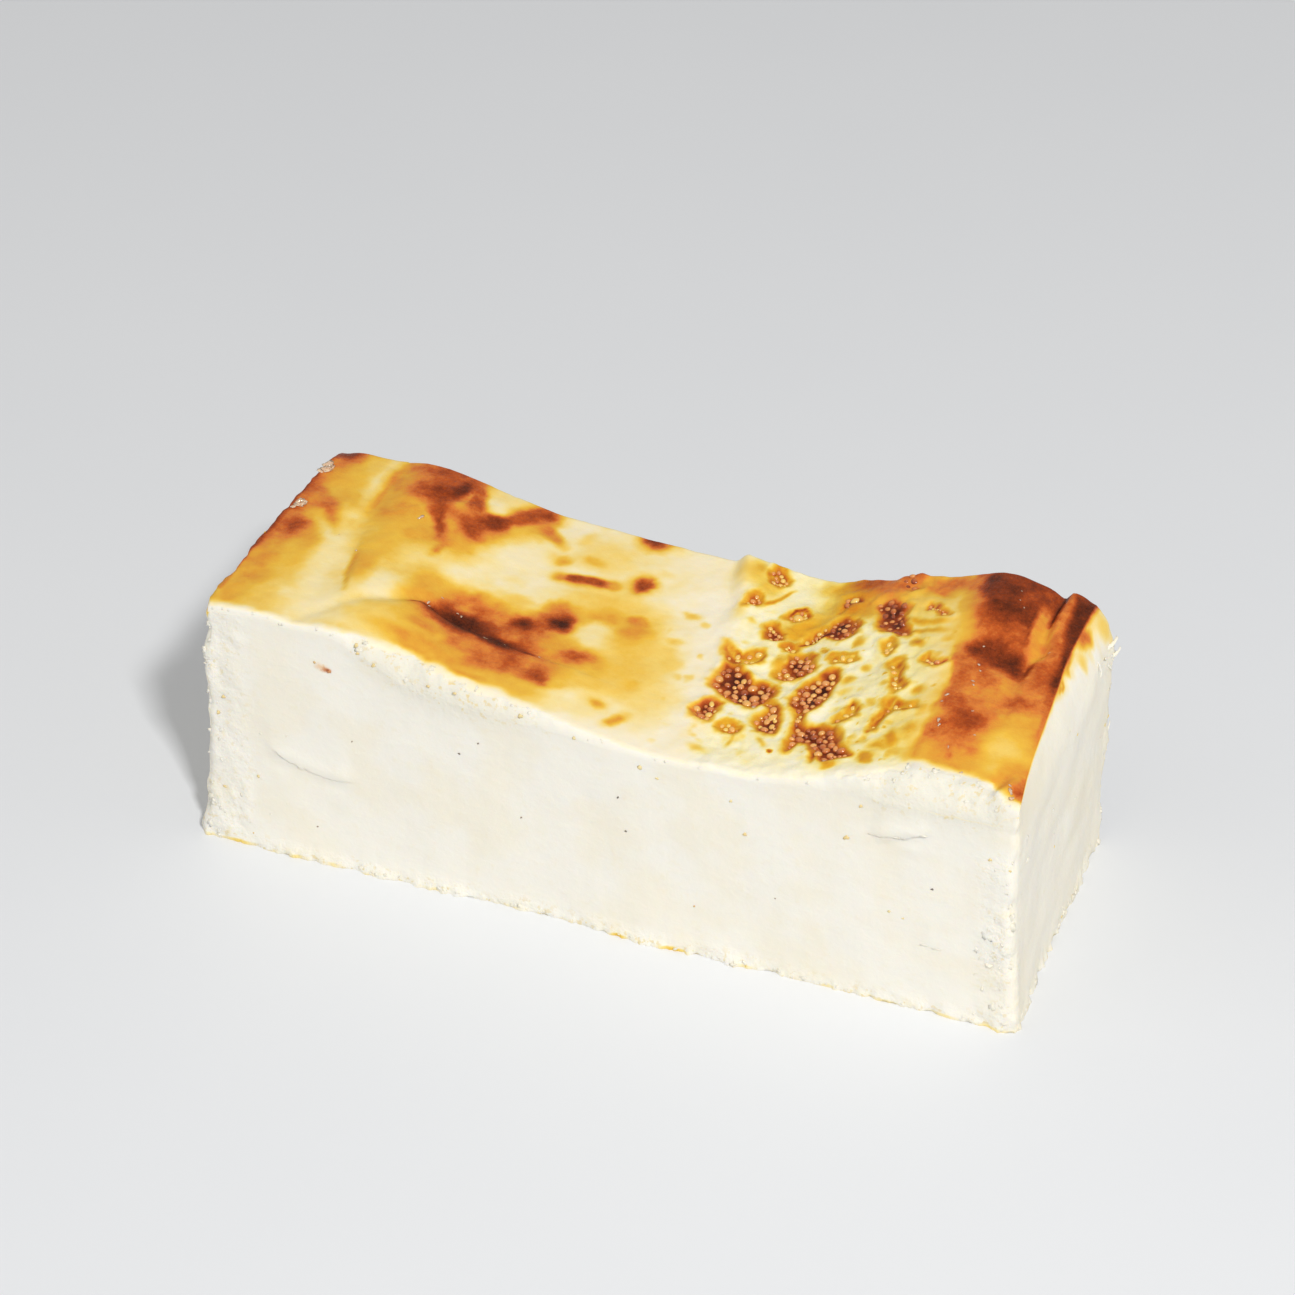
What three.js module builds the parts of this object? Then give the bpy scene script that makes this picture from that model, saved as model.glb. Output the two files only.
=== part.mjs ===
// A bar of baked cheesecake, cut from a slab that was baked in a square tin.
// Its two long faces are knife cuts. Its two ends lay against the tin, and keep a browned rim.
// Millimetres, +X along the bar, +Y to the back, +Z up, origin at the middle of the base.

import * as THREE from 'three';
import { ParametricGeometry } from 'three/addons/geometries/ParametricGeometry.js';
import { mergeGeometries, mergeVertices } from 'three/addons/utils/BufferGeometryUtils.js';

const { clamp, lerp, smoothstep, degToRad } = THREE.MathUtils;

// The plan of the bar: half the width between the cuts at the top, and the end faces half way down
const CUT_HALF_WIDTH = 34.6;
const END_FACE_LEFT = -91.9;
const END_FACE_RIGHT = 91.3;
const CORNER_RADIUS_TOP = 1.5;
const CORNER_RADIUS_BASE = 2.6;

// The rims of the two ends, as stations of [y, x]
const LEFT_RIM = [[-34.6, -90.0], [-27, -90.4], [0, -90.8], [14, -90.4], [34.6, -90.6]];
const RIGHT_RIM = [[-34.6, 91.2], [-23, 89.4], [0, 87.4], [14, 86.2], [34.6, 86.5]];

// The foot of each side, where it spreads at the base: [y, x] of the ends and [x, distance out] of the cuts
const LEFT_FOOT = [[-35, -95.2], [-20, -94], [35, -93]];
const RIGHT_FOOT = [[-35, 94.2], [-27, 93.6], [-13, 92.5], [8, 91.7], [35, 91.8]];
const FRONT_FOOT = [[-94, 36.2], [-78, 37.0], [-45, 36.1], [-8, 35.2], [12, 36.0], [50, 35.2], [93, 35.0]];
const BACK_FOOT = [[-94, 35.2], [-40, 35.6], [20, 35.0], [60, 35.7], [93, 35.2]];
const FOOT_SHARPNESS = 3;

// Below each rim a rounded shoulder comes down to the end face
const SHOULDER_DEPTH = 13;
const LEFT_SHOULDER_FULLNESS = 1.6;
const RIGHT_SHOULDER_FULLNESS = 2.4;

// The heights of the top along its two long edges, as stations of [x, height]
const FRONT_CREST = [
  [-92, 61.4], [-76, 62.2], [-57, 61.2], [-38, 55.6], [-14, 53.0], [4, 50.0],
  [27, 50.0], [44, 52.3], [62, 57.6], [78, 58.4], [92, 58.0],
];
const BACK_CREST = [
  [-92, 60.2], [-80, 59.6], [-68, 60.4], [-56, 58.4], [-38, 54.7], [-18, 53.7],
  [5, 52.8], [28, 52.3], [35, 55.2], [42, 57.4], [50, 60.0], [58, 62.2], [67, 65.3], [76, 63.7], [92, 60.8],
];

// Where the skin stops short of the front cut, as stations of [x, y]: the knife tore a strip of it off
const SKIN_FRONT = [
  [-91, -34.3], [-78, -34.1], [-70, -34.2], [-60, -33.8], [-53, -32.7], [-45, -31.7], [-38, -31.4],
  [-30, -31.6], [-22, -32.5], [-15, -32.9], [-8, -33.5], [10, -34.1], [44, -34.1], [52, -33.2],
  [60, -32], [66, -29.2], [72, -28.5], [78, -28.6], [84, -29.8], [88, -32.8], [92, -34.2],
];
// Where the strip is this wide or wider it drops fully, and its edge over the cut is fully rounded
const TORN_FULL_WIDTH = 3;
const TORN_DROP = 1.7;
const TORN_DROP_CURVE = 1.7;
const TORN_EDGE_RADIUS = 3.3;

// Where the baked skin lies over itself. Each path runs with its raised side on the left;
// rise gives the raised side's height at the path's start, middle and end.
const FOLDS = [
  { name: 'blistered_lip', rise: [3.2, 0.5, 0.1], fade: 14, groove: 0,
    path: [[5.8, 37], [8, 27], [11, 19], [10.6, 11], [13, 4], [15, -6], [18, -13], [21, -23]] },
  { name: 'front_lobe', rise: [0.3, 1.2, 0.15], fade: 13, groove: 0.9,
    path: [[-20, -16.2], [-34, -15.2], [-44.4, -14.4], [-49.6, -13.4], [-59, -23], [-68, -38]] },
  { name: 'right_rim_fold', rise: [1.9, 1.1, 0.2], fade: 14, groove: 1.1,
    path: [[80.8, 37], [80, 26], [80.4, 20.6], [81.8, 14], [80, 10.4], [79.6, 4.6], [80.5, -6]] },
  { name: 'left_fold', rise: [0.3, 1.0, 0.2], fade: 9, groove: 0.5,
    path: [[-69, -3], [-66.4, -12.5], [-64.5, -21]] },
  { name: 'upper_left_crease', rise: [0.2, 0.6, 0.2], fade: 8, groove: 0.3,
    path: [[-48.6, 32], [-50.4, 27.5], [-56, 23.2], [-60.6, 21.3], [-63, 19]] },
  { name: 'upper_left_stroke', rise: [0.3, 0.9, 0.2], fade: 6, groove: 0.7,
    path: [[-60.4, 23.5], [-57.4, 15], [-53.6, 6.5]] },
];
const FOLD_EDGE = 2.0;
const GROOVE_WIDTH = 2.6;

// Broad hills and hollows of the top. half gives the half-axes and turn the first one's heading in plan.
const SWELLINGS = [
  { name: 'left_moat', at: [-72.5, 4], half: [38, 4.6], turn: -84, rise: -1.2 },
  { name: 'left_dome', at: [-60, 27], half: [11, 8], turn: 15, rise: 0.9 },
  { name: 'front_lobe_crown', at: [-46, -25], half: [17, 7], turn: -12, rise: 1.1 },
  { name: 'hollow_behind_slash', at: [-40, -8], half: [12, 6], turn: -14, rise: -1.1 },
  { name: 'pale_middle', at: [-12, 4], half: [20, 16], turn: 0, rise: -0.7 },
  { name: 'rim_hump', at: [69, 24], half: [11, 9], turn: 0, rise: 1.2 },
  { name: 'dark_oval_hollow', at: [73.4, 8.8], half: [6.6, 4.2], turn: 0, rise: -1.3 },
  { name: 'right_shelf', at: [74, -14], half: [9, 9], turn: 0, rise: 0.8 },
];

// Sunken clusters of burnt bubbles, between puffed skin
const CLUSTER_DEPTH = 0.9;
const BLISTER_CLUSTERS = [
  { name: 'long_middle', at: [21.7, -6.5], half: [7.3, 5.0], turn: -25 },
  { name: 'small_front_left', at: [17.5, -17.3], half: [3.3, 2.8], turn: -15 },
  { name: 'small_front', at: [31.0, -17.6], half: [5.6, 2.4], turn: -68 },
  { name: 'rising', at: [36.7, -7.0], half: [7.5, 3.9], turn: 74 },
  { name: 'front_edge', at: [44.3, -22.1], half: [9.0, 3.6], turn: -36 },
  { name: 'centre', at: [30.2, 3.3], half: [4.8, 3.7], turn: 39 },
  { name: 'upper_centre', at: [36.3, 16.6], half: [4.3, 2.7], turn: -59 },
  { name: 'left', at: [21.9, 13.1], half: [3.1, 2.6], turn: -16 },
  { name: 'upper_small', at: [24.8, 19.7], half: [3.1, 2.2], turn: 41 },
  { name: 'lip', at: [14.0, 21.9], half: [2.7, 2.2], turn: -71 },
  { name: 'back_lip', at: [16.1, 31.0], half: [3.1, 2.4], turn: -81 },
  { name: 'large_back', at: [45.7, 21.2], half: [7.2, 3.9], turn: -56 },
  { name: 'back_edge', at: [46.4, 31.9], half: [4.0, 2.3], turn: -29 },
  { name: 'back', at: [34.5, 26.8], half: [3.3, 2.7], turn: -81 },
  { name: 'near_hump', at: [54.9, 22.3], half: [3.7, 2.2], turn: -40 },
];

// Puffed skin between the clusters: it fades in and out along the bar, and its rows lean
const PUFF_RISE = 0.3;
const PUFF_SPACING = 11;
const PUFF_START = 12;
const PUFF_FULL = 18;
const PUFF_FADE = 52;
const PUFF_END = 62;
const PUFF_LEAN_ALONG = 0.6;
const PUFF_LEAN_ACROSS = 0.35;

// Slow unevenness: of the top, and of the sides, where the knife or the paper dragged
const TOP_UNEVENNESS = 0.3;
const SIDE_UNEVENNESS = 0.3;
// Its two crossed waves: the share of each, its turns per mm in both directions, and where it starts
const WAVES = [
  { share: 0.65, sine: [0.11, 0.05], sineStart: 1.1, cosine: [-0.03, 0.07], cosineStart: 0.6 },
  { share: 0.35, sine: [0.29, -0.13], sineStart: 2.7, cosine: [0.09, 0.21], cosineStart: 0 },
];

// The mesh
const CELLS_ALONG = 80;
const CELLS_ACROSS = 32;
const SIDE_ROWS = 9;
const ROWS_TOWARDS_TOP = 1.5;
const ROWS_TOWARDS_FRONT = 1.3;
const MERGE_TOLERANCE = 1e-4;

/** Smooth curve through stations of [where, value]. */
function along(stations, where) {
  const last = stations.length - 1;
  const place = clamp(where, stations[0][0], stations[last][0]);
  const k = Math.min(stations.findLastIndex((station) => station[0] <= place), last - 1);
  const slope = (i) => {
    const before = stations[Math.max(i - 1, 0)];
    const after = stations[Math.min(i + 1, last)];
    return (after[1] - before[1]) / (after[0] - before[0]);
  };
  const span = stations[k + 1][0] - stations[k][0];
  const t = (place - stations[k][0]) / span;
  const straight = lerp(stations[k][1], stations[k + 1][1], t);
  const step = stations[k + 1][1] - stations[k][1];
  const bend = (slope(k) * span - step) * (1 - t) + (step - slope(k + 1) * span) * t;
  return straight + t * (1 - t) * bend;
}

/** Value that passes through three numbers, at 0, one half and 1. */
function through(values, t) {
  const first = t < 0.5;
  return first ? lerp(values[0], values[1], 2 * t) : lerp(values[1], values[2], 2 * t - 1);
}

/** Nearest place on a path of points: signed distance, positive on its left, and share of the way along. */
function nearestOnPath(path, x, y) {
  let best = { distance: Infinity, side: 1, share: 0 };
  for (let i = 0; i < path.length - 1; i++) {
    const run = [path[i + 1][0] - path[i][0], path[i + 1][1] - path[i][1]];
    const off = [x - path[i][0], y - path[i][1]];
    const t = clamp((off[0] * run[0] + off[1] * run[1]) / (run[0] ** 2 + run[1] ** 2), 0, 1);
    const distance = Math.hypot(off[0] - t * run[0], off[1] - t * run[1]);
    if (distance < best.distance) {
      const side = run[0] * off[1] - run[1] * off[0] >= 0 ? 1 : -1;
      best = { distance, side, share: (i + t) / (path.length - 1) };
    }
  }
  return { signed: best.distance * best.side, share: best.share };
}

/** Height that one fold of the skin adds: a lip that fades away from its path, and the groove under it. */
function foldRelief(fold, x, y) {
  const { signed, share } = nearestOnPath(fold.path, x, y);
  const rise = through(fold.rise, share);
  const lip = rise * smoothstep(signed, -FOLD_EDGE, FOLD_EDGE) * Math.exp(-Math.max(signed, 0) / fold.fade);
  const fromGroove = (signed + FOLD_EDGE) / GROOVE_WIDTH;
  return lip - fold.groove * Math.min(1, rise) * Math.exp(-(fromGroove ** 2));
}

/** Squared distance from an ellipse's centre, where 1 is its edge. */
function inEllipse({ at, half, turn }, x, y) {
  const c = Math.cos(degToRad(turn));
  const s = Math.sin(degToRad(turn));
  const [dx, dy] = [x - at[0], y - at[1]];
  return ((dx * c + dy * s) / half[0]) ** 2 + ((dy * c - dx * s) / half[1]) ** 2;
}

/** Puffs of skin between the clusters, laid out in a skewed pattern. */
function puffs(x, y) {
  const inBlistered = smoothstep(x, PUFF_START, PUFF_FULL) * (1 - smoothstep(x, PUFF_FADE, PUFF_END));
  const wave = Math.PI / PUFF_SPACING;
  const alongRows = Math.sin(wave * (x + PUFF_LEAN_ALONG * y));
  const acrossRows = Math.cos(wave * (y - PUFF_LEAN_ACROSS * x));
  return PUFF_RISE * inBlistered * alongRows * acrossRows;
}

/** Unevenness between -1 and 1 at a place of a surface. */
function uneven(a, b) {
  let sum = 0;
  for (const wave of WAVES) {
    const first = Math.sin(wave.sine[0] * a + wave.sine[1] * b + wave.sineStart);
    const second = Math.cos(wave.cosine[0] * a + wave.cosine[1] * b + wave.cosineStart);
    sum += wave.share * first * second;
  }
  return sum;
}

/** How far the torn strip along the front cut lies under the skin. */
function tornDrop(x, y) {
  const skin = along(SKIN_FRONT, x);
  const width = skin + CUT_HALF_WIDTH;
  const fullness = clamp(width / TORN_FULL_WIDTH, 0, 1);
  const share = clamp((skin - y) / width, 0, 1);
  const radius = TORN_EDGE_RADIUS * fullness;
  const rounding = clamp(1 - (y + CUT_HALF_WIDTH) / radius, 0, 1);
  return TORN_DROP * fullness * share ** TORN_DROP_CURVE + radius * (1 - Math.sqrt(1 - rounding ** 2));
}

/** Height of the top at a place in plan. */
function topHeight(x, y) {
  const back = clamp((y + CUT_HALF_WIDTH) / (2 * CUT_HALF_WIDTH), 0, 1);
  let height = lerp(along(FRONT_CREST, x), along(BACK_CREST, x), back);
  for (const fold of FOLDS) height += foldRelief(fold, x, y);
  for (const hill of SWELLINGS) height += hill.rise * Math.exp(-inEllipse(hill, x, y));
  for (const cluster of BLISTER_CLUSTERS) {
    height -= CLUSTER_DEPTH * Math.exp(-(inEllipse(cluster, x, y) ** 2));
  }
  return height + puffs(x, y) + TOP_UNEVENNESS * uneven(x, y) - tornDrop(x, y);
}

/** Pulls a place near an upright corner in, so that the corner is a quarter circle in plan. */
function roundCorner(x, y, reachX, reachY, radius) {
  const intoX = Math.max(0, Math.abs(x) - reachX + radius);
  const intoY = Math.max(0, Math.abs(y) - reachY + radius);
  const pull = (own, other) => own * (1 - Math.sqrt(1 - (other ** 2) / (2 * radius ** 2)));
  return [x - Math.sign(x) * pull(intoX, intoY), y - Math.sign(y) * pull(intoY, intoX)];
}

/** Place across the bar of a row of the top. The rows lie closer together along the torn strip. */
function rowAcross(v) {
  return lerp(-CUT_HALF_WIDTH, CUT_HALF_WIDTH, v ** ROWS_TOWARDS_FRONT);
}

/** Point of the top. u runs from the left rim to the right one, v from the front cut to the back one. */
function topPoint(u, v, target) {
  const y = rowAcross(v);
  const x = lerp(along(LEFT_RIM, y), along(RIGHT_RIM, y), u);
  return target.set(x, y, topHeight(x, y));
}

/** Grid place (u, v) of a share of the way round the top's edge, counter-clockwise from the front left. */
function roundTheEdge(share) {
  const step = Math.round(share * 2 * (CELLS_ALONG + CELLS_ACROSS));
  const corners = [CELLS_ALONG, CELLS_ALONG + CELLS_ACROSS, 2 * CELLS_ALONG + CELLS_ACROSS];
  if (step <= corners[0]) return [step / CELLS_ALONG, 0];
  if (step <= corners[1]) return [1, (step - corners[0]) / CELLS_ACROSS];
  if (step <= corners[2]) return [(corners[2] - step) / CELLS_ALONG, 1];
  return [0, Math.max(0, 1 - (step - corners[2]) / CELLS_ACROSS)];
}

/** Share of the way out from a rim to its end face, at a depth under the rim. */
function shoulderAt(depth, fullness) {
  return 1 - (1 - Math.min(depth / SHOULDER_DEPTH, 1)) ** fullness;
}

/** Plan position of the sides, by grid place (u, v) on the top's edge and how far the side has fallen. */
function sidePlan(u, v, fall, depth) {
  const foot = fall ** FOOT_SHARPNESS;
  const edgeY = rowAcross(v);
  const leftShoulder = shoulderAt(depth, LEFT_SHOULDER_FULLNESS);
  const rightShoulder = shoulderAt(depth, RIGHT_SHOULDER_FULLNESS);
  const leftUpper = lerp(along(LEFT_RIM, edgeY), END_FACE_LEFT, leftShoulder);
  const rightUpper = lerp(along(RIGHT_RIM, edgeY), END_FACE_RIGHT, rightShoulder);
  const left = lerp(leftUpper, along(LEFT_FOOT, edgeY), foot);
  const right = lerp(rightUpper, along(RIGHT_FOOT, edgeY), foot);
  const x = lerp(left, right, u);
  const footOut = edgeY < 0 ? along(FRONT_FOOT, x) : along(BACK_FOOT, x);
  const reachY = lerp(CUT_HALF_WIDTH, footOut, foot);
  const y = (edgeY * reachY) / CUT_HALF_WIDTH;
  const radius = lerp(CORNER_RADIUS_TOP, CORNER_RADIUS_BASE, fall) * rightShoulder;
  return radius > 0 ? roundCorner(x, y, x < 0 ? -left : right, reachY, radius) : [x, y];
}

/** Point of the sides. level runs from 0 at the base to 1 at the top's edge. */
function sidePoint(share, level, target) {
  const [u, v] = roundTheEdge(share);
  topPoint(u, v, target);
  const fall = (1 - level) ** ROWS_TOWARDS_TOP;
  const depth = fall * target.z;
  const z = level === 0 ? 0 : target.z - depth;
  const [x, y] = sidePlan(u, v, fall, depth);
  const drag = SIDE_UNEVENNESS * Math.min(1, depth / SHOULDER_DEPTH);
  const outAlong = u === 0 || u === 1 ? Math.sign(u - 0.5) * drag * uneven(y, z) : 0;
  const outAcross = v === 0 || v === 1 ? Math.sign(v - 0.5) * drag * uneven(x, z) : 0;
  return target.set(x + outAlong, y + outAcross, z);
}

/** The flat base, inside the sides' lowest ring and facing down. */
function baseGeometry(aroundCells) {
  const ring = [];
  const point = new THREE.Vector3();
  for (let i = 0; i < aroundCells; i++) {
    sidePoint(i / aroundCells, 0, point);
    ring.push(new THREE.Vector2(point.x, point.y));
  }
  const base = new THREE.ShapeGeometry(new THREE.Shape(ring));
  const index = base.index.array;
  for (let i = 0; i < index.length; i += 3) [index[i], index[i + 1]] = [index[i + 1], index[i]];
  return base;
}

/** One closed body from its top, sides and base. */
function cheesecakeGeometry() {
  const aroundCells = 2 * (CELLS_ALONG + CELLS_ACROSS);
  const top = new ParametricGeometry(topPoint, CELLS_ALONG, CELLS_ACROSS);
  const sides = new ParametricGeometry(sidePoint, aroundCells, SIDE_ROWS);
  const base = baseGeometry(aroundCells);
  for (const piece of [top, sides, base]) {
    piece.deleteAttribute('normal');
    piece.deleteAttribute('uv');
  }
  const body = mergeVertices(mergeGeometries([top, sides, base]), MERGE_TOLERANCE);
  body.computeVertexNormals();
  return body;
}

const bakedCream = new THREE.MeshStandardMaterial({ color: 0xf0e3b8, roughness: 0.5, metalness: 0 });

const cheesecake = new THREE.Mesh(cheesecakeGeometry(), bakedCream);
cheesecake.name = 'cheesecake';

const bar = new THREE.Group();
bar.add(cheesecake);

export default bar;
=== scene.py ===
# %% [markdown]
# # A bar of baked cheesecake
# The bar was cut from a slab that was baked in a square tin. Its two long faces are knife cuts
# through pale, dense cream. Its top is a thin skin, pale and smooth in the middle, browned where it
# rose, and full of burnt bubbles right of the middle. Its two ends lay against the tin.
# The solid from the CAD model gives the frame and the size. The look is made here, in one finer mesh
# that follows the same named curves, because skin, relief and browning have to line up.

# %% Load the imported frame
import math

import bpy
import numpy as np
from mathutils import Matrix, Vector


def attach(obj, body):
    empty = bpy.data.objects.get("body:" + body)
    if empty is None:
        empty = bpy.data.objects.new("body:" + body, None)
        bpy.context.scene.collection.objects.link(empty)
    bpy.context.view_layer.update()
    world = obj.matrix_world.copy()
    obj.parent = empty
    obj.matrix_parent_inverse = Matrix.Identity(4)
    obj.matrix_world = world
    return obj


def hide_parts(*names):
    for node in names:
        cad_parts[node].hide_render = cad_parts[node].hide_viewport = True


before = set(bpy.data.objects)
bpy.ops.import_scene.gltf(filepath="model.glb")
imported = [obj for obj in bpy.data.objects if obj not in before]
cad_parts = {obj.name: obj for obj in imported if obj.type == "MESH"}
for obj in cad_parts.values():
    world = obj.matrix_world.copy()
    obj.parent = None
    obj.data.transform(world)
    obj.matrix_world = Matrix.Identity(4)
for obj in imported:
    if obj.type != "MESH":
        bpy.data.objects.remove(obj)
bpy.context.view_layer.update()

MM = 0.001
bpy.ops.object.select_all(action="DESELECT")

# %% [markdown]
# ## The camera
# A camera is an empty eye: its place, its heading and its lens decide the picture. It is made first,
# so that every later look at the bar is the same one. The heading is given as an azimuth and an
# elevation round a point inside the bar, because that is how one walks round a cake on a table.

# %% Camera
CAMERA_AZIMUTH = 21.7
CAMERA_ELEVATION = 35.6
CAMERA_DISTANCE = 893 * MM
CAMERA_TARGET = Vector((-13.0, 26.1, 30.0)) * MM
SENSOR_WIDTH_MM = 36.0
LENS_MM = 111.2


def heading(azimuth, elevation):
    """Direction from the bar towards a place, azimuth counted from the front towards the right end."""
    a, e = math.radians(azimuth), math.radians(elevation)
    return Vector((math.sin(a) * math.cos(e), -math.cos(a) * math.cos(e), math.sin(e)))


def aim(thing, place, target):
    """Puts a camera or lamp at a place, looking at a target."""
    thing.location = place
    thing.rotation_euler = (target - place).to_track_quat("-Z", "Y").to_euler()


bpy.ops.object.camera_add()
camera = bpy.context.object
camera.name = "camera"
camera.data.sensor_width = SENSOR_WIDTH_MM
camera.data.lens = LENS_MM
camera.data.clip_start = 0.01
camera.data.clip_end = 20
aim(camera, CAMERA_TARGET + heading(CAMERA_AZIMUTH, CAMERA_ELEVATION) * CAMERA_DISTANCE, CAMERA_TARGET)
bpy.context.scene.camera = camera
print("camera at", [round(c, 3) for c in camera.location])

# %% [markdown]
# ## Curves that give the bar its shape
# A baked thing has no straight lines, but it has a few that matter: the two rims, the two feet, and
# the height of the top along each long cut. Each is a short list of stations, in millimetres, and
# one smooth curve runs through them. The CAD solid uses the same lists.

# %% Stations of the rims, feet and crests
CUT_HALF_WIDTH = 34.6
END_FACE_LEFT, END_FACE_RIGHT = -91.9, 91.3
CORNER_RADIUS_TOP, CORNER_RADIUS_BASE = 1.5, 2.6
SHOULDER_DEPTH = 13.0
LEFT_SHOULDER_FULLNESS, RIGHT_SHOULDER_FULLNESS = 1.6, 2.4
FOOT_SHARPNESS = 3
RIM_NOTCHES = [(9.0, 0.35, 24), (3.6, 0.2, 25), (1.6, 0.2, 28)]

LEFT_RIM = [(-34.6, -90.0), (-27, -90.4), (0, -90.8), (14, -90.4), (34.6, -90.6)]
RIGHT_RIM = [(-34.6, 91.2), (-23, 89.4), (0, 87.4), (14, 86.2), (34.6, 86.5)]
LEFT_FOOT = [(-35, -95.2), (-20, -94), (35, -93)]
RIGHT_FOOT = [(-35, 94.2), (-27, 93.6), (-13, 92.5), (8, 91.7), (35, 91.8)]
FRONT_FOOT = [(-94, 36.2), (-78, 37.0), (-45, 36.1), (-8, 35.2), (12, 36.0), (50, 35.2), (93, 35.0)]
BACK_FOOT = [(-94, 35.2), (-40, 35.6), (20, 35.0), (60, 35.7), (93, 35.2)]
FRONT_CREST = [
    (-92, 61.4), (-76, 62.2), (-57, 61.2), (-38, 55.6), (-14, 53.0), (4, 50.0),
    (27, 50.0), (44, 52.3), (62, 57.6), (78, 58.4), (92, 58.0),
]
BACK_CREST = [
    (-92, 60.2), (-80, 59.6), (-68, 60.4), (-56, 58.4), (-38, 54.7), (-18, 53.7), (5, 52.8),
    (28, 52.3), (35, 55.2), (42, 57.4), (50, 60.0), (58, 62.2), (67, 65.3), (76, 63.7), (92, 60.8),
]
# Where the skin stops short of the front cut, as (x, y): the knife tore a strip of it off
SKIN_FRONT = [
    (-91, -34.3), (-78, -34.1), (-70, -34.2), (-60, -33.8), (-53, -32.7), (-45, -31.7), (-38, -31.4),
    (-30, -31.6), (-22, -32.5), (-15, -32.9), (-8, -33.5), (10, -34.1), (44, -34.1), (52, -33.2),
    (60, -32), (66, -29.2), (72, -28.5), (78, -28.6), (84, -29.8), (88, -32.8), (92, -34.2),
]


def blend(a, b, share):
    """Value between a and b."""
    return a + (b - a) * share


def ease(value, start, end):
    """0 before start, 1 after end, and a soft rise between them."""
    share = np.clip((value - start) / (end - start), 0, 1)
    return share * share * (3 - 2 * share)


def along(stations, where):
    """Smooth curve through stations of (where, value)."""
    places, values = np.array(stations, float).T
    last = len(places) - 1
    where = np.clip(where, places[0], places[-1])
    k = np.clip(np.searchsorted(places, where, side="right") - 1, 0, last - 1)
    before = np.maximum(np.arange(last + 1) - 1, 0)
    after = np.minimum(np.arange(last + 1) + 1, last)
    slope = (values[after] - values[before]) / (places[after] - places[before])
    span, step = places[k + 1] - places[k], values[k + 1] - values[k]
    t = (where - places[k]) / span
    bend = (slope[k] * span - step) * (1 - t) + (step - slope[k + 1] * span) * t
    return values[k] + step * t + t * (1 - t) * bend


print("front crest at the middle:", round(float(along(FRONT_CREST, np.array([0.0]))[0]), 2), "mm")

# %% [markdown]
# ## Folds, swellings and clusters
# The skin set before the filling did, so it wrinkled: it lies over itself along a few lines, swells
# over steam, and sank where bubbles burnt. A sculptor would pull these by hand. Here each is a path
# or an outline with a height, so it can be read, moved and measured.

# %% Folds and swellings of the skin
# Each path has its raised side on the left. rise is the height, and edge the half width of the step,
# at the start, middle and end of the path.
FOLDS = [
    dict(name="blistered_lip", rise=(3.2, 0.5, 0.1), edge=(1.8, 3.2, 3.4), fade=14, groove=0.0,
         path=[(5.8, 37), (8, 27), (11, 19), (10.6, 11), (13, 4), (15, -6), (18, -13), (21, -23)]),
    dict(name="front_lobe", rise=(0.3, 1.2, 0.15), edge=(0.9, 1.0, 5.0), fade=13, groove=0.9,
         path=[(-20, -16.2), (-34, -15.2), (-44.4, -14.4), (-49.6, -13.4), (-59, -23), (-68, -38)]),
    dict(name="right_rim_fold", rise=(1.9, 1.1, 0.2), edge=(1.0, 1.0, 1.4), fade=14, groove=1.1,
         path=[(80.8, 37), (80, 26), (80.4, 20.6), (81.8, 14), (80, 10.4), (79.6, 4.6), (80.5, -6)]),
    dict(name="left_fold", rise=(0.3, 0.9, 0.2), edge=(1.6, 1.2, 1.6), fade=9, groove=0.4,
         path=[(-69, -3), (-66.4, -12.5), (-64.5, -21)]),
    dict(name="upper_left_crease", rise=(0.2, 0.6, 0.2), edge=(1.8, 1.6, 1.8), fade=8, groove=0.25,
         path=[(-48.6, 32), (-50.4, 27.5), (-56, 23.2), (-60.6, 21.3), (-63, 19)]),
    dict(name="upper_left_stroke", rise=(0.3, 0.9, 0.2), edge=(1.5, 1.2, 1.5), fade=6, groove=0.6,
         path=[(-60.4, 23.5), (-57.4, 15), (-53.6, 6.5)]),
    dict(name="finger_crease", rise=(0.1, 0.5, 0.1), edge=(1.0, 0.9, 1.2), fade=5, groove=0.4,
         path=[(-86, 12), (-81, 7.6), (-76, 0.5)]),
    dict(name="dome_crease", rise=(0.4, 0.5, 0.2), edge=(1.0, 1.0, 1.4), fade=6, groove=0.4,
         path=[(-74.4, 14), (-75, 24), (-74.4, 33)]),
    dict(name="spine_crease", rise=(0.2, 0.6, 0.2), edge=(0.6, 0.6, 0.8), fade=4, groove=0.5,
         path=[(76.6, 28), (76, 21), (77, 14)]),
]
GROOVE_WIDTH = 1.9

# name, middle, half-axes, heading of the first one in degrees, rise
SWELLINGS = [
    ("left_moat", (-72.5, 4), (38, 4.6), -84, -1.2),
    ("left_dome", (-60, 27), (11, 8), 15, 0.9),
    ("front_lobe_crown", (-46, -25), (17, 7), -12, 1.1),
    ("hollow_behind_slash", (-40, -8), (12, 6), -14, -1.1),
    ("pale_middle", (-12, 4), (20, 16), 0, -0.7),
    ("rim_hump", (69, 24), (11, 9), 0, 1.2),
    ("dark_oval_hollow", (73.4, 8.8), (6.6, 4.2), 0, -1.3),
    ("right_shelf", (74, -14), (9, 9), 0, 0.8),
    ("corner_flap", (87.2, -29.0), (1.4, 3.0), -18, 0.8),
    ("corner_dip", (84.4, -29.6), (1.4, 2.4), -18, -0.7),
    ("back_edge_blob", (46.2, 34.0), (2.4, 2.6), 0, 1.6),
]

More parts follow.
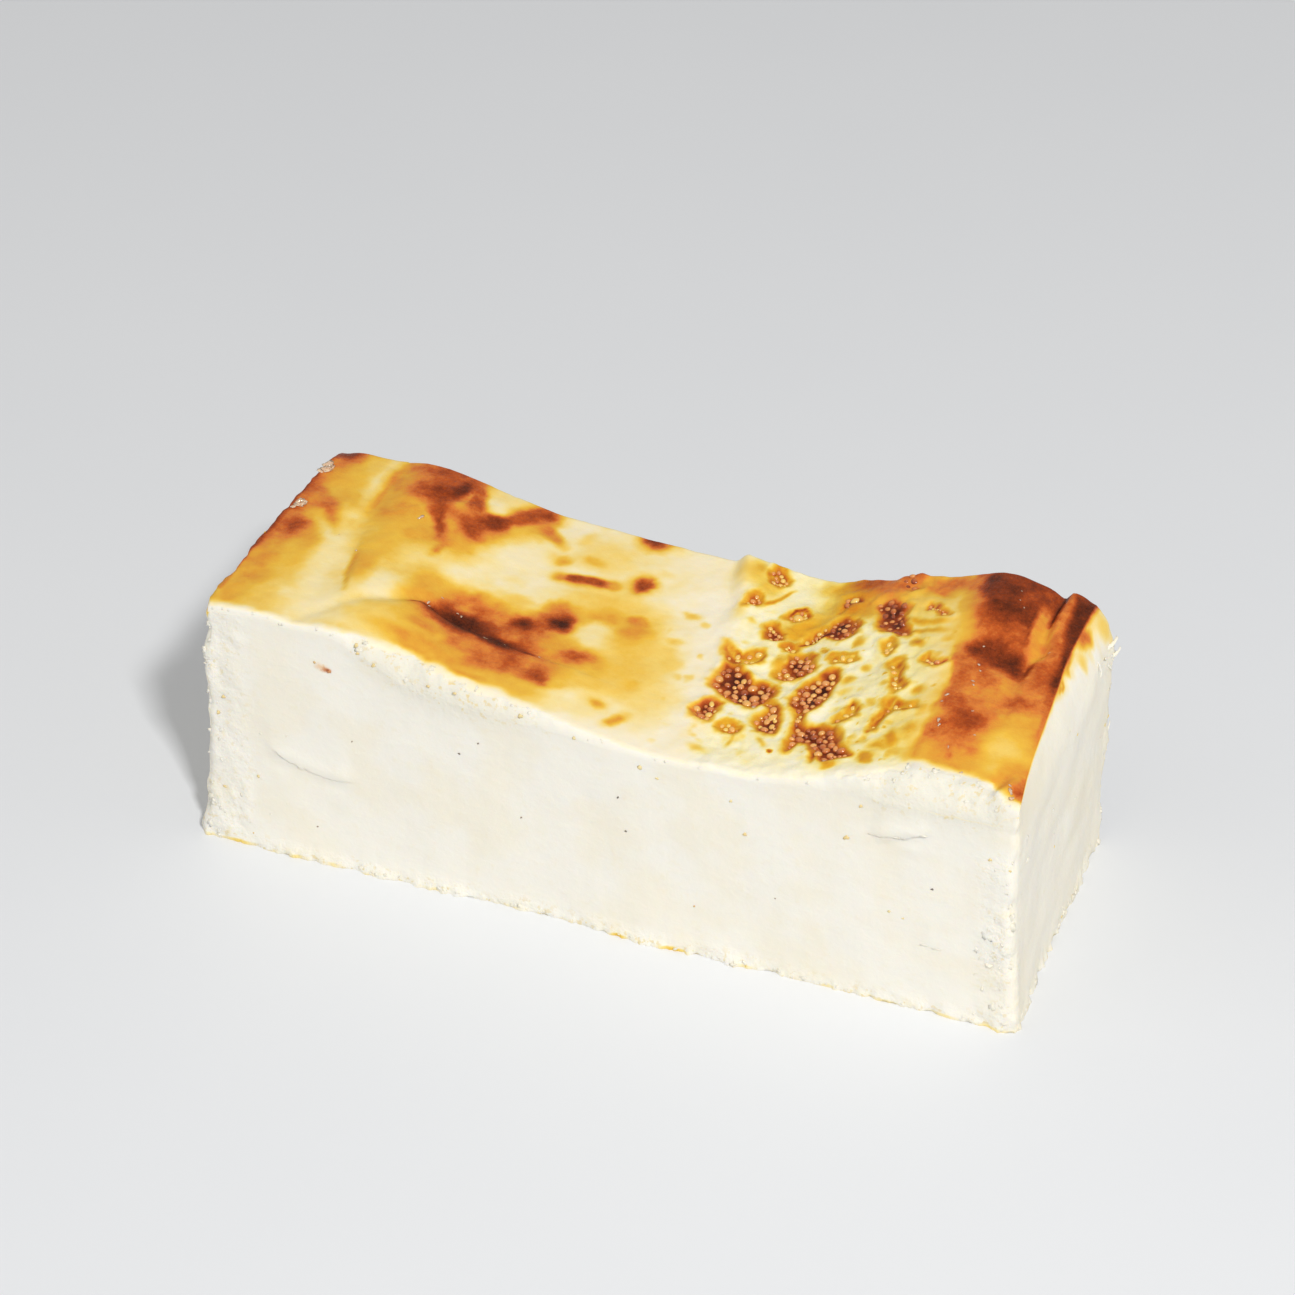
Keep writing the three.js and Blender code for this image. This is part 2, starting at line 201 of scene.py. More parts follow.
# %% [markdown]
# ## Clusters of burnt bubbles
# Right of the middle the filling boiled through the skin. Each burst place left a sunken, sharp-edged
# patch full of caramel bubbles. Outlines suit them better than ellipses, since their corners show.

# %% Outlines of the clusters
# name: how dark the middle is, how many bubbles, outline corners in plan
CLUSTERS = {
    "long_middle": (0.84, 30, [
        (15.7, -0.2), (18.2, 0.2), (20, -2), (23.5, -4.5), (26.5, -4), (29, -5.5), (29, -8), (28, -9.5),
        (26.5, -12.2), (24.5, -12.5), (21.5, -11.7), (18.5, -11), (15.7, -9), (14.7, -7), (15.2, -3),
    ]),
    "small_front_left": (0.76, 9, [
        (14, -17.2), (15.7, -14.7), (17, -13.2), (19.5, -13.5), (19.7, -16.5), (19, -20.2), (17.5, -20),
        (15.2, -19),
    ]),
    "front_left_sliver": (0.66, 5, [
        (21, -21), (22.2, -19), (25, -19.2), (26.5, -20), (26.2, -21.2), (25.5, -22.2), (23.5, -22.2),
    ]),
    "small_front": (0.76, 12, [
        (27.7, -16.5), (28.2, -14.5), (29.5, -13), (29.4, -11), (31.5, -11.3), (32.2, -13), (33, -15.5),
        (33.8, -18.5), (34, -20.5), (32.2, -20.7), (30, -20), (28.5, -18.5),
    ]),
    "rising": (0.82, 26, [
        (32.7, -8.5), (33.7, -6.5), (34, -4), (35, -2.5), (37, -1.5), (38, 0.7), (39.5, 2), (41, 0),
        (40.7, -3), (41, -7), (40.2, -10.5), (39, -12.5), (37.5, -13.5), (36, -13.5), (34.5, -11),
    ]),
    "front_edge": (0.86, 32, [
        (36.7, -16), (38.5, -16.2), (40, -17.2), (43, -17.2), (46, -17.7), (47.5, -19.5), (49, -23),
        (51.5, -25.5), (52.6, -27), (50.5, -27.5), (49, -28.5), (47.5, -29.2), (45.5, -27.5), (45, -29.5),
        (44, -25.5), (42, -22.5), (40, -22.5), (38.5, -26), (37.7, -23), (37.2, -19.5),
    ]),
    "centre": (0.76, 16, [
        (27.5, 7), (28.5, 7.5), (31, 7.7), (33, 7), (33.5, 4.5), (35, 2.5), (34.5, 1), (33, -0.5),
        (31, -1.2), (29, -1.8), (27, -0.8), (26.5, 1.5), (27, 3), (28.2, 4.5),
    ]),
    "upper_centre": (0.93, 14, [
        (32.7, 18.5), (33.7, 20), (35.5, 20.5), (38, 19.5), (39.5, 17.5), (39.5, 15.5), (38.2, 13.5),
        (37, 12.5), (35, 13), (33.5, 14), (32.7, 16),
    ]),
    "upper_centre_tail": (0.60, 9, [
        (28, 11), (28.6, 13.5), (30.2, 16), (32.4, 17.6), (33, 15.2), (31, 12.8),
    ]),
    "left": (0.70, 8, [
        (19.5, 12.5), (19.2, 15), (20.5, 16), (22.2, 14.5), (24, 13.5), (23.7, 11.5), (22.2, 10.7),
        (20.5, 11),
    ]),
    "upper_small": (0.52, 5, [
        (22, 18.5), (23.2, 21), (25, 22.4), (27, 21), (27, 19.5), (25.5, 18.2), (24, 17.7),
    ]),
    "lip": (0.66, 6, [
        (12.2, 19.2), (12.5, 22), (13.7, 24), (15, 23), (15.7, 21.5), (14.5, 20.2), (13.2, 19.7),
    ]),
    "back_lip": (0.60, 10, [
        (13.7, 31.5), (15, 34), (17, 33), (18.7, 31), (18.5, 29), (17, 27.7), (15.2, 28.2),
    ]),
    "large_back": (0.98, 20, [
        (40.5, 25), (41.5, 26.5), (43.2, 27), (45, 26.5), (47, 25.5), (49, 23.5), (48.5, 20.5), (49.5, 18),
        (51.5, 15), (51.7, 13.5), (49.5, 13.7), (47, 15), (45, 15.5), (43.5, 17), (43, 20), (41.7, 22.5),
    ]),
    "back_edge": (1.0, 7, [
        (44, 32.5), (44.8, 35), (46.5, 35), (47.5, 32.5), (49, 30.5), (47, 29), (45.5, 29.5),
    ]),
    "back": (0.72, 8, [
        (33, 24.5), (32.7, 27.5), (34, 28.5), (36, 27.5), (37, 26), (35, 25.5), (34, 24), (33.2, 22),
    ]),
    "near_hump": (0.66, 7, [
        (52.2, 23.5), (53, 24.5), (54.5, 23.5), (56, 22), (57.5, 21), (58.7, 19.7), (57, 19.7), (55, 21.5),
        (53, 22),
    ]),
    "long_middle_tail": (0.52, 6, [
        (13.2, 6.5), (15, 5), (17.5, 4.2), (19.2, 5.7), (21.5, 6), (22.7, 4.5), (22.5, 3), (21, 2), (20, 1),
        (18.2, 0.2), (15.7, -0.2), (14.7, 2), (13.7, 4),
    ]),
    "right_spur": (0.50, 3, [
        (47, -9), (49, -11), (49.2, -13.5), (47.5, -15.5), (45, -16), (44.7, -14.5), (46.5, -13),
    ]),
    "right_streak": (0.56, 5, [
        (50.5, 4.5), (53, 5), (54.2, 2), (54.5, -1.5), (56.2, -3.5), (56.5, -5), (55, -6), (53.7, -4),
        (52.5, 0), (51, 2.5),
    ]),
    "right_hook": (0.50, 4, [
        (54, -9), (55.5, -8.2), (57.5, -9.5), (61, -10), (62.2, -11.5), (60, -11.7), (57, -11.7),
        (55.5, -13.5), (55, -16), (55, -18.5), (53.8, -19.5), (54, -15.5), (54.8, -12),
    ]),
    "right_dash": (0.60, 3, [(57.2, 4.5), (58.5, 6), (60.5, 5), (63, 3.7), (61.5, 2.5), (59.5, 3)]),
    "middle_dash": (0.42, 2, [
        (37, 7), (39, 7), (41, 6.5), (42, 7), (42.5, 5.5), (41, 4.5), (38, 4.5), (37, 5.5),
    ]),
    "upper_right_spot": (0.44, 3, [(46.5, 11), (48.5, 12), (50, 9), (49, 7), (47.5, 8.5)]),
    "low_link": (0.62, 3, [(28, -9.5), (29.5, -10), (31.6, -11.6), (30.6, -12.4), (28.2, -11)]),
    "front_link": (0.62, 3, [(36, -13.2), (38, -13), (38.6, -16.2), (36.8, -16.2)]),
    "left_lower_spot": (0.52, 4, [(24.6, 9.2), (26, 10.3), (28, 9.4), (28.2, 8.2), (26, 8)]),
}
# how far they sink, and from where outside the outline to where inside it
CLUSTER_DEPTH, CLUSTER_SIDE = 0.75, (-0.8, 1.5)
# height of the raised rim, where it lies and how wide it is
CLUSTER_RIM_RISE, CLUSTER_RIM_AT, CLUSTER_RIM_WIDTH = 0.26, -1.1, 0.9
print(len(CLUSTERS), "clusters,", sum(count for _, count, _ in CLUSTERS.values()), "bubbles")

# %% [markdown]
# ## Measuring places on the skin
# Three helpers answer where a vertex is: how far from a path, how deep in an outline, and how far
# from the middle of an ellipse. A fourth, a soft random cloud, breaks every edge that is too even.
# numpy asks them for all vertices at once, which is far quicker than one vertex at a time.

# %% Helpers that measure many places at once
CLOUD_CELLS = 32


def cloud(points, size, seed):
    """Soft random hills between -1 and 1, about size across, at points of three columns."""
    table = np.random.default_rng(seed).uniform(-1, 1, (CLOUD_CELLS,) * 3)
    grid = points / size + 0.5 * CLOUD_CELLS
    low = np.floor(grid).astype(int)
    part = grid - low
    part = part * part * (3 - 2 * part)
    total = np.zeros(len(points))
    for corner in np.ndindex(2, 2, 2):
        cell = (low + corner) % CLOUD_CELLS
        share = np.prod(np.where(corner, part, 1 - part), axis=1)
        total += share * table[cell[:, 0], cell[:, 1], cell[:, 2]]
    return total


def lumpy(points, size, seed):
    """Rounded lumps about size across, with creases between them."""
    return 1.8 * np.abs(cloud(points, size, seed)) - 0.5


def from_path(path, x, y):
    """Distance from a path, positive on its left, and the share of the way along it."""
    nearest = np.full(x.shape, np.inf)
    side = np.ones(x.shape)
    share = np.zeros(x.shape)
    for i, ((ax, ay), (bx, by)) in enumerate(zip(path, path[1:])):
        run_x, run_y = bx - ax, by - ay
        t = np.clip(((x - ax) * run_x + (y - ay) * run_y) / (run_x**2 + run_y**2), 0, 1)
        distance = np.hypot(x - ax - t * run_x, y - ay - t * run_y)
        closer = distance < nearest
        left = run_x * (y - ay) - run_y * (x - ax) >= 0
        nearest = np.where(closer, distance, nearest)
        side = np.where(closer, np.where(left, 1, -1), side)
        share = np.where(closer, (i + t) / (len(path) - 1), share)
    return nearest * side, share


def in_outline(corners, x, y):
    """Distance from a closed outline, positive inside."""
    nearest = np.full(x.shape, np.inf)
    inside = np.zeros(x.shape, bool)
    for (ax, ay), (bx, by) in zip(corners, corners[1:] + corners[:1]):
        run_x, run_y = bx - ax, by - ay
        t = np.clip(((x - ax) * run_x + (y - ay) * run_y) / (run_x**2 + run_y**2), 0, 1)
        nearest = np.minimum(nearest, np.hypot(x - ax - t * run_x, y - ay - t * run_y))
        if ay != by:
            crossed = (ay > y) != (by > y)
            inside ^= crossed & (x < ax + (y - ay) * run_x / run_y)
    return np.where(inside, nearest, -nearest)


def in_ellipse(at, half, turn, x, y):
    """Distance from an ellipse's middle, where 1 is its edge."""
    c, s = math.cos(math.radians(turn)), math.sin(math.radians(turn))
    dx, dy = x - at[0], y - at[1]
    return np.hypot((dx * c + dy * s) / half[0], (dy * c - dx * s) / half[1])


# %% [markdown]
# ## Height of the top
# The height is a sum: the slab between its two crests, then folds, swellings, sunken clusters and
# puffs, then a little unevenness. Near the long cuts the edge is slightly rounded, and at the front
# the torn strip falls away from the skin. Adding up simple parts keeps each one easy to correct.

# %% Height of the top, in millimetres
PUFF_RISE, PUFF_SPACING, PUFF_START, PUFF_END = 0.3, 11, 12, 62
TOP_UNEVENNESS = 0.3
EDGE_ROUNDING = 0.7
TORN_ROUNDING = 3.3
PUCKERS = [(4.0, 0.20, 16), (2.0, 0.15, 17), (1.2, 0.07, 18)]
TORN_STRIP_DROP, TORN_STRIP_CURVE = 1.7, 1.7
FULL_STRIP_WIDTH = 3
LEAST_STRIP_FALL = 0.15
TORN_EDGE = [(5.5, 0.9, 19), (2.4, 0.7, 22), (1.1, 0.35, 23)]
TORN_LUMPS = [(4.6, 0.40, 18), (2.6, 0.28, 14), (1.4, 0.14, 15)]
WRINKLES = [(6.0, 0.10, 11), (2.6, 0.07, 12), (1.2, 0.05, 13)]
# where the blistered skin starts and ends along the bar, as (y, x)
BLISTERED_START = [(-20, 17), (5, 12), (20, 9.5), (35, 6.5)]
BLISTERED_END = [(-30, 68), (-10, 65), (10, 62), (35, 59)]
# where the corners of the top sank, as (x, y), with how far and how wide
SUNK_CORNERS = [((-91, 35.5), 2.0, 3.6), ((87, 36), 1.2, 3.0), ((-90, -35), 0.6, 1.8)]


def uneven(a, b):
    """Slow waves between -1 and 1."""
    slow = np.sin(0.11 * a + 0.05 * b + 1.1) * np.cos(0.07 * b - 0.03 * a + 0.6)
    quick = np.sin(0.29 * a - 0.13 * b + 2.7) * np.cos(0.21 * b + 0.09 * a)
    return 0.65 * slow + 0.35 * quick


def fold_relief(fold, x, y):
    """Height that one fold adds: a lip that fades away from its path, and the groove under it."""
    signed, share = from_path(fold["path"], x, y)
    rise = np.interp(share, (0, 0.5, 1), fold["rise"])
    edge = np.interp(share, (0, 0.5, 1), fold["edge"])
    lip = rise * ease(signed, -edge, edge) * np.exp(-np.maximum(signed, 0) / fold["fade"])
    groove = np.exp(-(((signed + edge) / GROOVE_WIDTH) ** 2))
    return lip - fold["groove"] * np.minimum(1, rise) * groove


def puffs(x, y):
    """Puffed skin between the clusters."""
    blistered = ease(x, PUFF_START, PUFF_START + 6) * (1 - ease(x, PUFF_END - 10, PUFF_END))
    wave = math.pi / PUFF_SPACING
    return PUFF_RISE * blistered * np.sin(wave * (x + 0.6 * y)) * np.cos(wave * (y - 0.35 * x))


def blistered_share(x, y):
    """1 on the skin that is full of bubbles, 0 on the smooth skin."""
    start = np.interp(y, *zip(*BLISTERED_START))
    end = np.interp(y, *zip(*BLISTERED_END))
    return ease(x, start, start + 5) * (1 - ease(x, end - 6, end))


def flat_points(x, y):
    """Places in plan as points of three columns, for cloud."""
    return np.stack([x, y, np.zeros_like(x)], axis=1)


def cluster_depths(x, y):
    """How deep each place lies in the nearest cluster, in millimetres, negative outside."""
    ragged = 0.35 * cloud(flat_points(x, y), 1.7, 21)
    deepest = np.full(x.shape, -20.0)
    for _, _, corners in CLUSTERS.values():
        deepest = np.maximum(deepest, in_outline(corners, x, y))
    return deepest + ragged


def torn_share(x, y):
    """0 on the skin, rising to 1 across the strip that the knife tore at the front."""
    skin = along(SKIN_FRONT, x)
    width = np.maximum(skin + CUT_HALF_WIDTH, 0.3)
    ragged = sum(reach * cloud(flat_points(x, y), size, seed) for size, reach, seed in TORN_EDGE)
    return np.clip((skin + ragged * np.minimum(1, 0.5 * width) - y) / width, 0, 1)


def strip_share(x, least):
    """How wide the torn strip is, from a least share up to 1, its full width."""
    return np.clip((along(SKIN_FRONT, x) + CUT_HALF_WIDTH) / FULL_STRIP_WIDTH, least, 1)


def top_height(x, y):
    """Height of the top at places in plan."""
    back = np.clip((y + CUT_HALF_WIDTH) / (2 * CUT_HALF_WIDTH), 0, 1)
    height = blend(along(FRONT_CREST, x), along(BACK_CREST, x), back)
    for fold in FOLDS:
        height += fold_relief(fold, x, y)
    for _, at, half, turn, rise in SWELLINGS:
        height += rise * np.exp(-(in_ellipse(at, half, turn, x, y) ** 2))
    depth = cluster_depths(x, y)
    height -= CLUSTER_DEPTH * ease(depth, *CLUSTER_SIDE)
    in_blisters = blistered_share(x, y)
    for size, rise, seed in PUCKERS:
        height += rise * in_blisters * cloud(flat_points(x, y), size, seed)
    height += CLUSTER_RIM_RISE * np.exp(-(((depth - CLUSTER_RIM_AT) / CLUSTER_RIM_WIDTH) ** 2))
    height += puffs(x, y) + TOP_UNEVENNESS * uneven(x, y)
    for size, rise, seed in WRINKLES:
        height += rise * cloud(flat_points(x, y), size, seed)
    setback = strip_share(x, LEAST_STRIP_FALL)
    torn = torn_share(x, y)
    height -= TORN_STRIP_DROP * setback * torn**TORN_STRIP_CURVE
    for size, rise, seed in TORN_LUMPS:
        height += rise * setback * ease(torn, 0, 0.2) * lumpy(np.stack([x, y, height], axis=1), size, seed)
    for at, drop, size in SUNK_CORNERS:
        height -= drop * np.exp(-(in_ellipse(at, (size, size), 0, x, y) ** 2))
    from_cut = CUT_HALF_WIDTH - np.abs(y)
    radius = EDGE_ROUNDING + TORN_ROUNDING * setback * (y < 0)
    rounding = np.clip(1 - from_cut / radius, 0, 1)
    return height - radius * (1 - np.sqrt(1 - rounding**2))


print("height over the middle:", round(float(top_height(np.array([0.0]), np.array([0.0]))[0]), 2), "mm")

# %% [markdown]
# ## A block of many small faces
# The bar starts as a flat grid of the bar's own length and width. Its rim is extruded downwards row by
# row, as one pulls a wall from a floor plan, and the base is closed with one face. The result is a
# plain closed block whose corners, rows and columns can still be told apart by their place.

# %% Model the block
BLOCK_LENGTH, BLOCK_WIDTH, BLOCK_HEIGHT = 180 * MM, 69.2 * MM, 56 * MM
COLUMNS, ROWS, WALL_ROWS = 350, 150, 44
SMALL = 1e-6

bpy.ops.mesh.primitive_grid_add(
    x_subdivisions=COLUMNS, y_subdivisions=ROWS, size=1,
    location=(BLOCK_LENGTH / 2, BLOCK_WIDTH / 2, BLOCK_HEIGHT),
)
bar = bpy.context.object
bar.name = "baked_bar"
bpy.ops.object.mode_set(mode="EDIT")
bpy.ops.mesh.select_all(action="SELECT")
bpy.ops.transform.resize(value=(BLOCK_LENGTH, BLOCK_WIDTH, 1))
bpy.ops.mesh.select_all(action="DESELECT")
bpy.ops.mesh.select_mode(type="EDGE")
bpy.ops.mesh.select_non_manifold()
for _ in range(WALL_ROWS):
    bpy.ops.mesh.extrude_region_move(
        TRANSFORM_OT_translate={"value": (0, 0, -BLOCK_HEIGHT / WALL_ROWS)}
    )
bpy.ops.mesh.edge_face_add()
bpy.ops.mesh.select_all(action="SELECT")
bpy.ops.mesh.normals_make_consistent(inside=False)
bpy.ops.object.mode_set(mode="OBJECT")
bpy.ops.object.transform_apply(location=True, rotation=True, scale=True)
print("block:", len(bar.data.vertices), "vertices,", len(bar.data.polygons), "faces")

# %% [markdown]
# ## From the block to the bar
# Every vertex knows its column, row and level in the block. The columns stand closer where the
# bubbles are, because small relief needs small faces. The top takes its height from the sum above,
# and the walls follow the rims, shoulders and feet. A sculpted mesh would look the same, but it could
# not be put back on the CAD solid so exactly.

# %% Columns, rows and levels of the vertices
BLISTERED_SPAN = (10, 63)
BLISTERED_DENSITY = 1.9
EDGE_DENSITY = 1.9
EDGE_SPAN = 1.6
TOP_DENSITY, FOOT_DENSITY = 5.0, 3.4
WALL_SPAN = 0.05


def spaced(shares, density):
    """Shares of the way from 0 to 1, closer together where density is high."""
    fine = np.linspace(0, 1, 4001)
    total = np.concatenate([[0], np.cumsum(density(0.5 * (fine[1:] + fine[:-1])))])
    return np.interp(shares, total / total[-1], fine)


def column_density(u):
    """How close the columns stand, by the share of the way along the bar."""
    x = blend(END_FACE_LEFT, END_FACE_RIGHT, u)
    start, end = BLISTERED_SPAN
    return 1 + (BLISTERED_DENSITY - 1) * ease(x, start - 4, start) * (1 - ease(x, end, end + 4))


def row_density(v):
    """How close the rows stand, by the share of the way from the front cut to the back one."""
    from_cut = 2 * CUT_HALF_WIDTH * np.minimum(v, 1 - v)
    return 1 + (EDGE_DENSITY - 1) * np.exp(-from_cut / EDGE_SPAN)


def wall_density(share):
    """How close the rows of the walls stand, by the share of the way down."""
    near_top = (TOP_DENSITY - 1) * np.exp(-share / WALL_SPAN)
    near_foot = (FOOT_DENSITY - 1) * np.exp((share - 1) / WALL_SPAN)
    return 1 + near_top + near_foot


count = len(bar.data.vertices)
block = np.empty(3 * count)
bar.data.vertices.foreach_get("co", block)
block = block.reshape(count, 3)
u = spaced(np.clip(block[:, 0] / BLOCK_LENGTH, 0, 1), column_density)
v = spaced(np.clip(block[:, 1] / BLOCK_WIDTH, 0, 1), row_density)
level = np.clip(block[:, 2] / BLOCK_HEIGHT, 0, 1)
on_top = level > 1 - SMALL
on_left, on_right = u < SMALL, u > 1 - SMALL
on_front, on_back = v < SMALL, v > 1 - SMALL
print("top:", int(on_top.sum()), "vertices, walls:", int((~on_top).sum()))

# %% Plan of the walls


def shoulder(depth, fullness):
    """Share of the way out from a rim to its end face, at a depth under the rim."""
    return 1 - (1 - np.minimum(depth / SHOULDER_DEPTH, 1)) ** fullness


def round_corner(x, y, reach_x, reach_y, radius):
    """Pulls places near an upright corner in, so that the corner is a quarter circle in plan."""
    into_x = np.maximum(0, np.abs(x) - reach_x + radius)
    into_y = np.maximum(0, np.abs(y) - reach_y + radius)
    safe = np.maximum(radius, SMALL)
    pull_x = into_x * (1 - np.sqrt(np.clip(1 - into_y**2 / (2 * safe**2), 0, 1)))
    pull_y = into_y * (1 - np.sqrt(np.clip(1 - into_x**2 / (2 * safe**2), 0, 1)))
    return x - np.sign(x) * pull_x, y - np.sign(y) * pull_y


def wall_plan(u, v, fall, depth):
    """Plan place of the walls, by column and row, and by how far the wall has fallen."""
    foot = fall**FOOT_SHARPNESS
    edge_y = blend(-CUT_HALF_WIDTH, CUT_HALF_WIDTH, v)
    right_shoulder = shoulder(depth, RIGHT_SHOULDER_FULLNESS)
    upper_left = blend(along(LEFT_RIM, edge_y), END_FACE_LEFT, shoulder(depth, LEFT_SHOULDER_FULLNESS))
    upper_right = blend(along(RIGHT_RIM, edge_y), END_FACE_RIGHT, right_shoulder)
    left = blend(upper_left, along(LEFT_FOOT, edge_y), foot)
    right = blend(upper_right, along(RIGHT_FOOT, edge_y), foot)
    x = blend(left, right, u)
    foot_out = np.where(edge_y < 0, along(FRONT_FOOT, x), along(BACK_FOOT, x))
    reach_y = blend(CUT_HALF_WIDTH, foot_out, foot)
    y = edge_y * reach_y / CUT_HALF_WIDTH
    radius = blend(CORNER_RADIUS_TOP, CORNER_RADIUS_BASE, fall) * right_shoulder
    return round_corner(x, y, np.where(x < 0, -left, right), reach_y, radius)


top_y = blend(-CUT_HALF_WIDTH, CUT_HALF_WIDTH, v)
top_x = blend(along(LEFT_RIM, top_y), along(RIGHT_RIM, top_y), u)
top_z = np.zeros(count)
rim = on_top | on_left | on_right | on_front | on_back
top_z[rim] = top_height(top_x[rim], top_y[rim])
fall = spaced(1 - level, wall_density)
depth = np.where(on_top, 0, fall * top_z)
wall_x, wall_y = wall_plan(u, v, fall, depth)
shape = np.stack([np.where(on_top, top_x, wall_x), np.where(on_top, top_y, wall_y), top_z - depth], axis=1)
shape[level < SMALL, 2] = 0
across_only = np.stack([np.zeros(count), shape[:, 1], 0.3 * depth], axis=1)
notches = sum(reach * cloud(across_only, size, seed) for size, reach, seed in RIM_NOTCHES)
from_rim = np.maximum(shape[:, 0] - along(LEFT_RIM, shape[:, 1]), 0)
shape[:, 0] += notches * np.exp(-from_rim / 1.2 - depth / 5)
print("bounds in mm:", shape.min(0).round(2), shape.max(0).round(2))

# %% [markdown]
# ## Knife drag, crumbs and tears on the walls
# The cuts are not flat. The knife left long, faint waves, tore the cream open at a few places in the
# front, and crumbled it near both upright edges and along the foot. All of these move the walls by
# fractions of a millimetre, straight out or in, strongest where the real ones are.

# %% Relief of the walls
WALL_WAVES = 0.3
CRUMBLE = [(6.0, 0.50, 31), (3.6, 0.45, 32)]
CRUMBLE_EVERYWHERE = 0.10
EDGE_NOTCHES = [(8.0, 0.9, 26), (3.6, 0.7, 27), (1.9, 0.4, 29)]
EDGE_REACH = 2.4
# under the skin at the front left the cream is nibbled away: depth, half height, how far in
LEFT_NIBBLE = (7.0, 2.8, 1.2)
FOOT_FRILL = [(3.0, 0.5, 38), (1.5, 0.4, 39)]
FOOT_FRILL_HEIGHT = 1.3
LEFT_CRUMBLE_X, LEFT_CRUMBLE_WIDTH = -93, 16
# the crumbly strip at the right end of the cuts: where, how wide, how far it leans, where it ends in height
RIGHT_CRUMBLE_X, RIGHT_CRUMBLE_WIDTH, RIGHT_CRUMBLE_LEAN, RIGHT_CRUMBLE_TOP = 89.0, 5.0, 0.12, (38, 50)
FOOT_CRUMBLE_HEIGHT = 5.0
END_PLASTER = 0.28
# name, path on the front cut as (x, z), how far the lip above the tear stands out
TEARS = [
    ("left_arc", [(-78, 26.4), (-72, 23.8), (-66, 22.4), (-58, 22.6)], 0.6),
    ("right_line", [(61, 42.6), (66, 43.6), (72, 46)], 0.7),
    ("right_low", [(62, 40.4), (67, 40.8), (71, 39.8)], 0.3),
    ("right_pit", [(72.6, 17.4), (75, 17.0)], 0.4),
]


def crumbled(points, x, y, z):
    """How crumbly each place of the walls is, 0 to 1."""
    near_left = 1 - ease(x - LEFT_CRUMBLE_X, 0.35 * LEFT_CRUMBLE_WIDTH, LEFT_CRUMBLE_WIDTH)
    from_strip = x - RIGHT_CRUMBLE_X - RIGHT_CRUMBLE_LEAN * (20 - z)
    strip = np.exp(-((from_strip / RIGHT_CRUMBLE_WIDTH) ** 2)) * (1 - ease(z, *RIGHT_CRUMBLE_TOP))
    near_foot = 1 - ease(z, 0.2 * FOOT_CRUMBLE_HEIGHT, FOOT_CRUMBLE_HEIGHT)
    patchy = 0.65 + 0.35 * cloud(points, 9, 34)
    on_cut = np.abs(y) > CUT_HALF_WIDTH - 2
    on_end = np.maximum(0.16, 0.8 * ease(np.abs(y), 26, 34) * (1 - ease(z, 40, 52)))
    return np.clip(np.where(on_cut, np.maximum(near_left, strip), on_end) + 0.9 * near_foot, 0, 1) * patchy


x, y, z = shape.T
crumble = crumbled(shape, x, y, z)
deep_enough = np.minimum(1, depth / 4)
rough = sum(rise * lumpy(shape, size, seed) for size, rise, seed in CRUMBLE)
rough *= deep_enough * np.maximum(crumble, CRUMBLE_EVERYWHERE)
waves_ends = WALL_WAVES * np.minimum(1, depth / SHOULDER_DEPTH) * uneven(y, z)
waves_cuts = WALL_WAVES * np.minimum(1, depth / SHOULDER_DEPTH) * uneven(x, z)
plastered = cloud(shape * (1, 0.5, 1), 6, 35) + 0.6 * cloud(shape * (1, 0.45, 1), 2.6, 36)
waves_ends += END_PLASTER * deep_enough * plastered
for _, path, stand_out in TEARS:
    above, _ = from_path(path, x, z)
    above = above + 0.5 * cloud(shape, 2.2, 37)
    lip = stand_out * np.exp(-np.maximum(above, 0) / 4.0) * ease(above, -0.7, 0.9)
    groove = 0.5 * stand_out * np.exp(-(((above + 1.0) / 1.1) ** 2))
    ends = ease(x, path[0][0] - 1, path[0][0] + 2) * (1 - ease(x, path[-1][0] - 2, path[-1][0] + 1))
    waves_cuts += np.where(on_front, (lip - groove) * ends, 0)
off_top = ~on_top
out_x = (on_right.astype(float) - on_left) * off_top * (waves_ends + rough)
out_y = (on_back.astype(float) - on_front) * off_top * (waves_cuts + rough)
frill = sum(rise * lumpy(shape * (1, 1, 0.4), size, seed) for size, rise, seed in FOOT_FRILL)
frill = frill * np.exp(-z / FOOT_FRILL_HEIGHT) * off_top
out_x += frill * (on_right.astype(float) - on_left)
out_y += frill * (on_back.astype(float) - on_front)
side_x, side_y = np.sign(u - 0.5), np.sign(v - 0.5)
from_ends = 2 * END_FACE_RIGHT * np.minimum(u, 1 - u)
from_cuts = 2 * CUT_HALF_WIDTH * np.minimum(v, 1 - v)
near_edge = np.exp(-(from_ends + from_cuts) / EDGE_REACH) * off_top * deep_enough
by_edge = np.stack([20 * side_x, 20 * side_y, z], axis=1)
notch = sum(reach * cloud(by_edge, size, seed) for size, reach, seed in EDGE_NOTCHES)
out_x += side_x * near_edge * notch
out_y += 0.9 * side_y * near_edge * notch
nibble_depth, nibble_half, nibble = LEFT_NIBBLE
nibbled = np.exp(-(((depth - nibble_depth) / nibble_half) ** 2) - (from_ends + from_cuts) / (2 * EDGE_REACH))
out_x += nibble * nibbled * (side_x < 0) * (side_y < 0) * off_top
shape[:, 0] += out_x
shape[:, 1] += out_y
bar.data.vertices.foreach_set("co", (shape * MM).ravel())
bar.data.update()
print("crumbly share of the walls:", round(float(crumble[off_top].mean()), 3))

# %% [markdown]
# ## Browning
# Browning is a level from 0, raw cream, to 1, nearly burnt. It is laid on like paint: a ground tone,
# then zones, spots and strokes, each covering what is under it with a soft edge. A paint brush would
# do, but strokes with names can be moved by a millimetre and tried again. The level is stored on the
# vertices, because it belongs to places on the skin and has to turn with the bar.

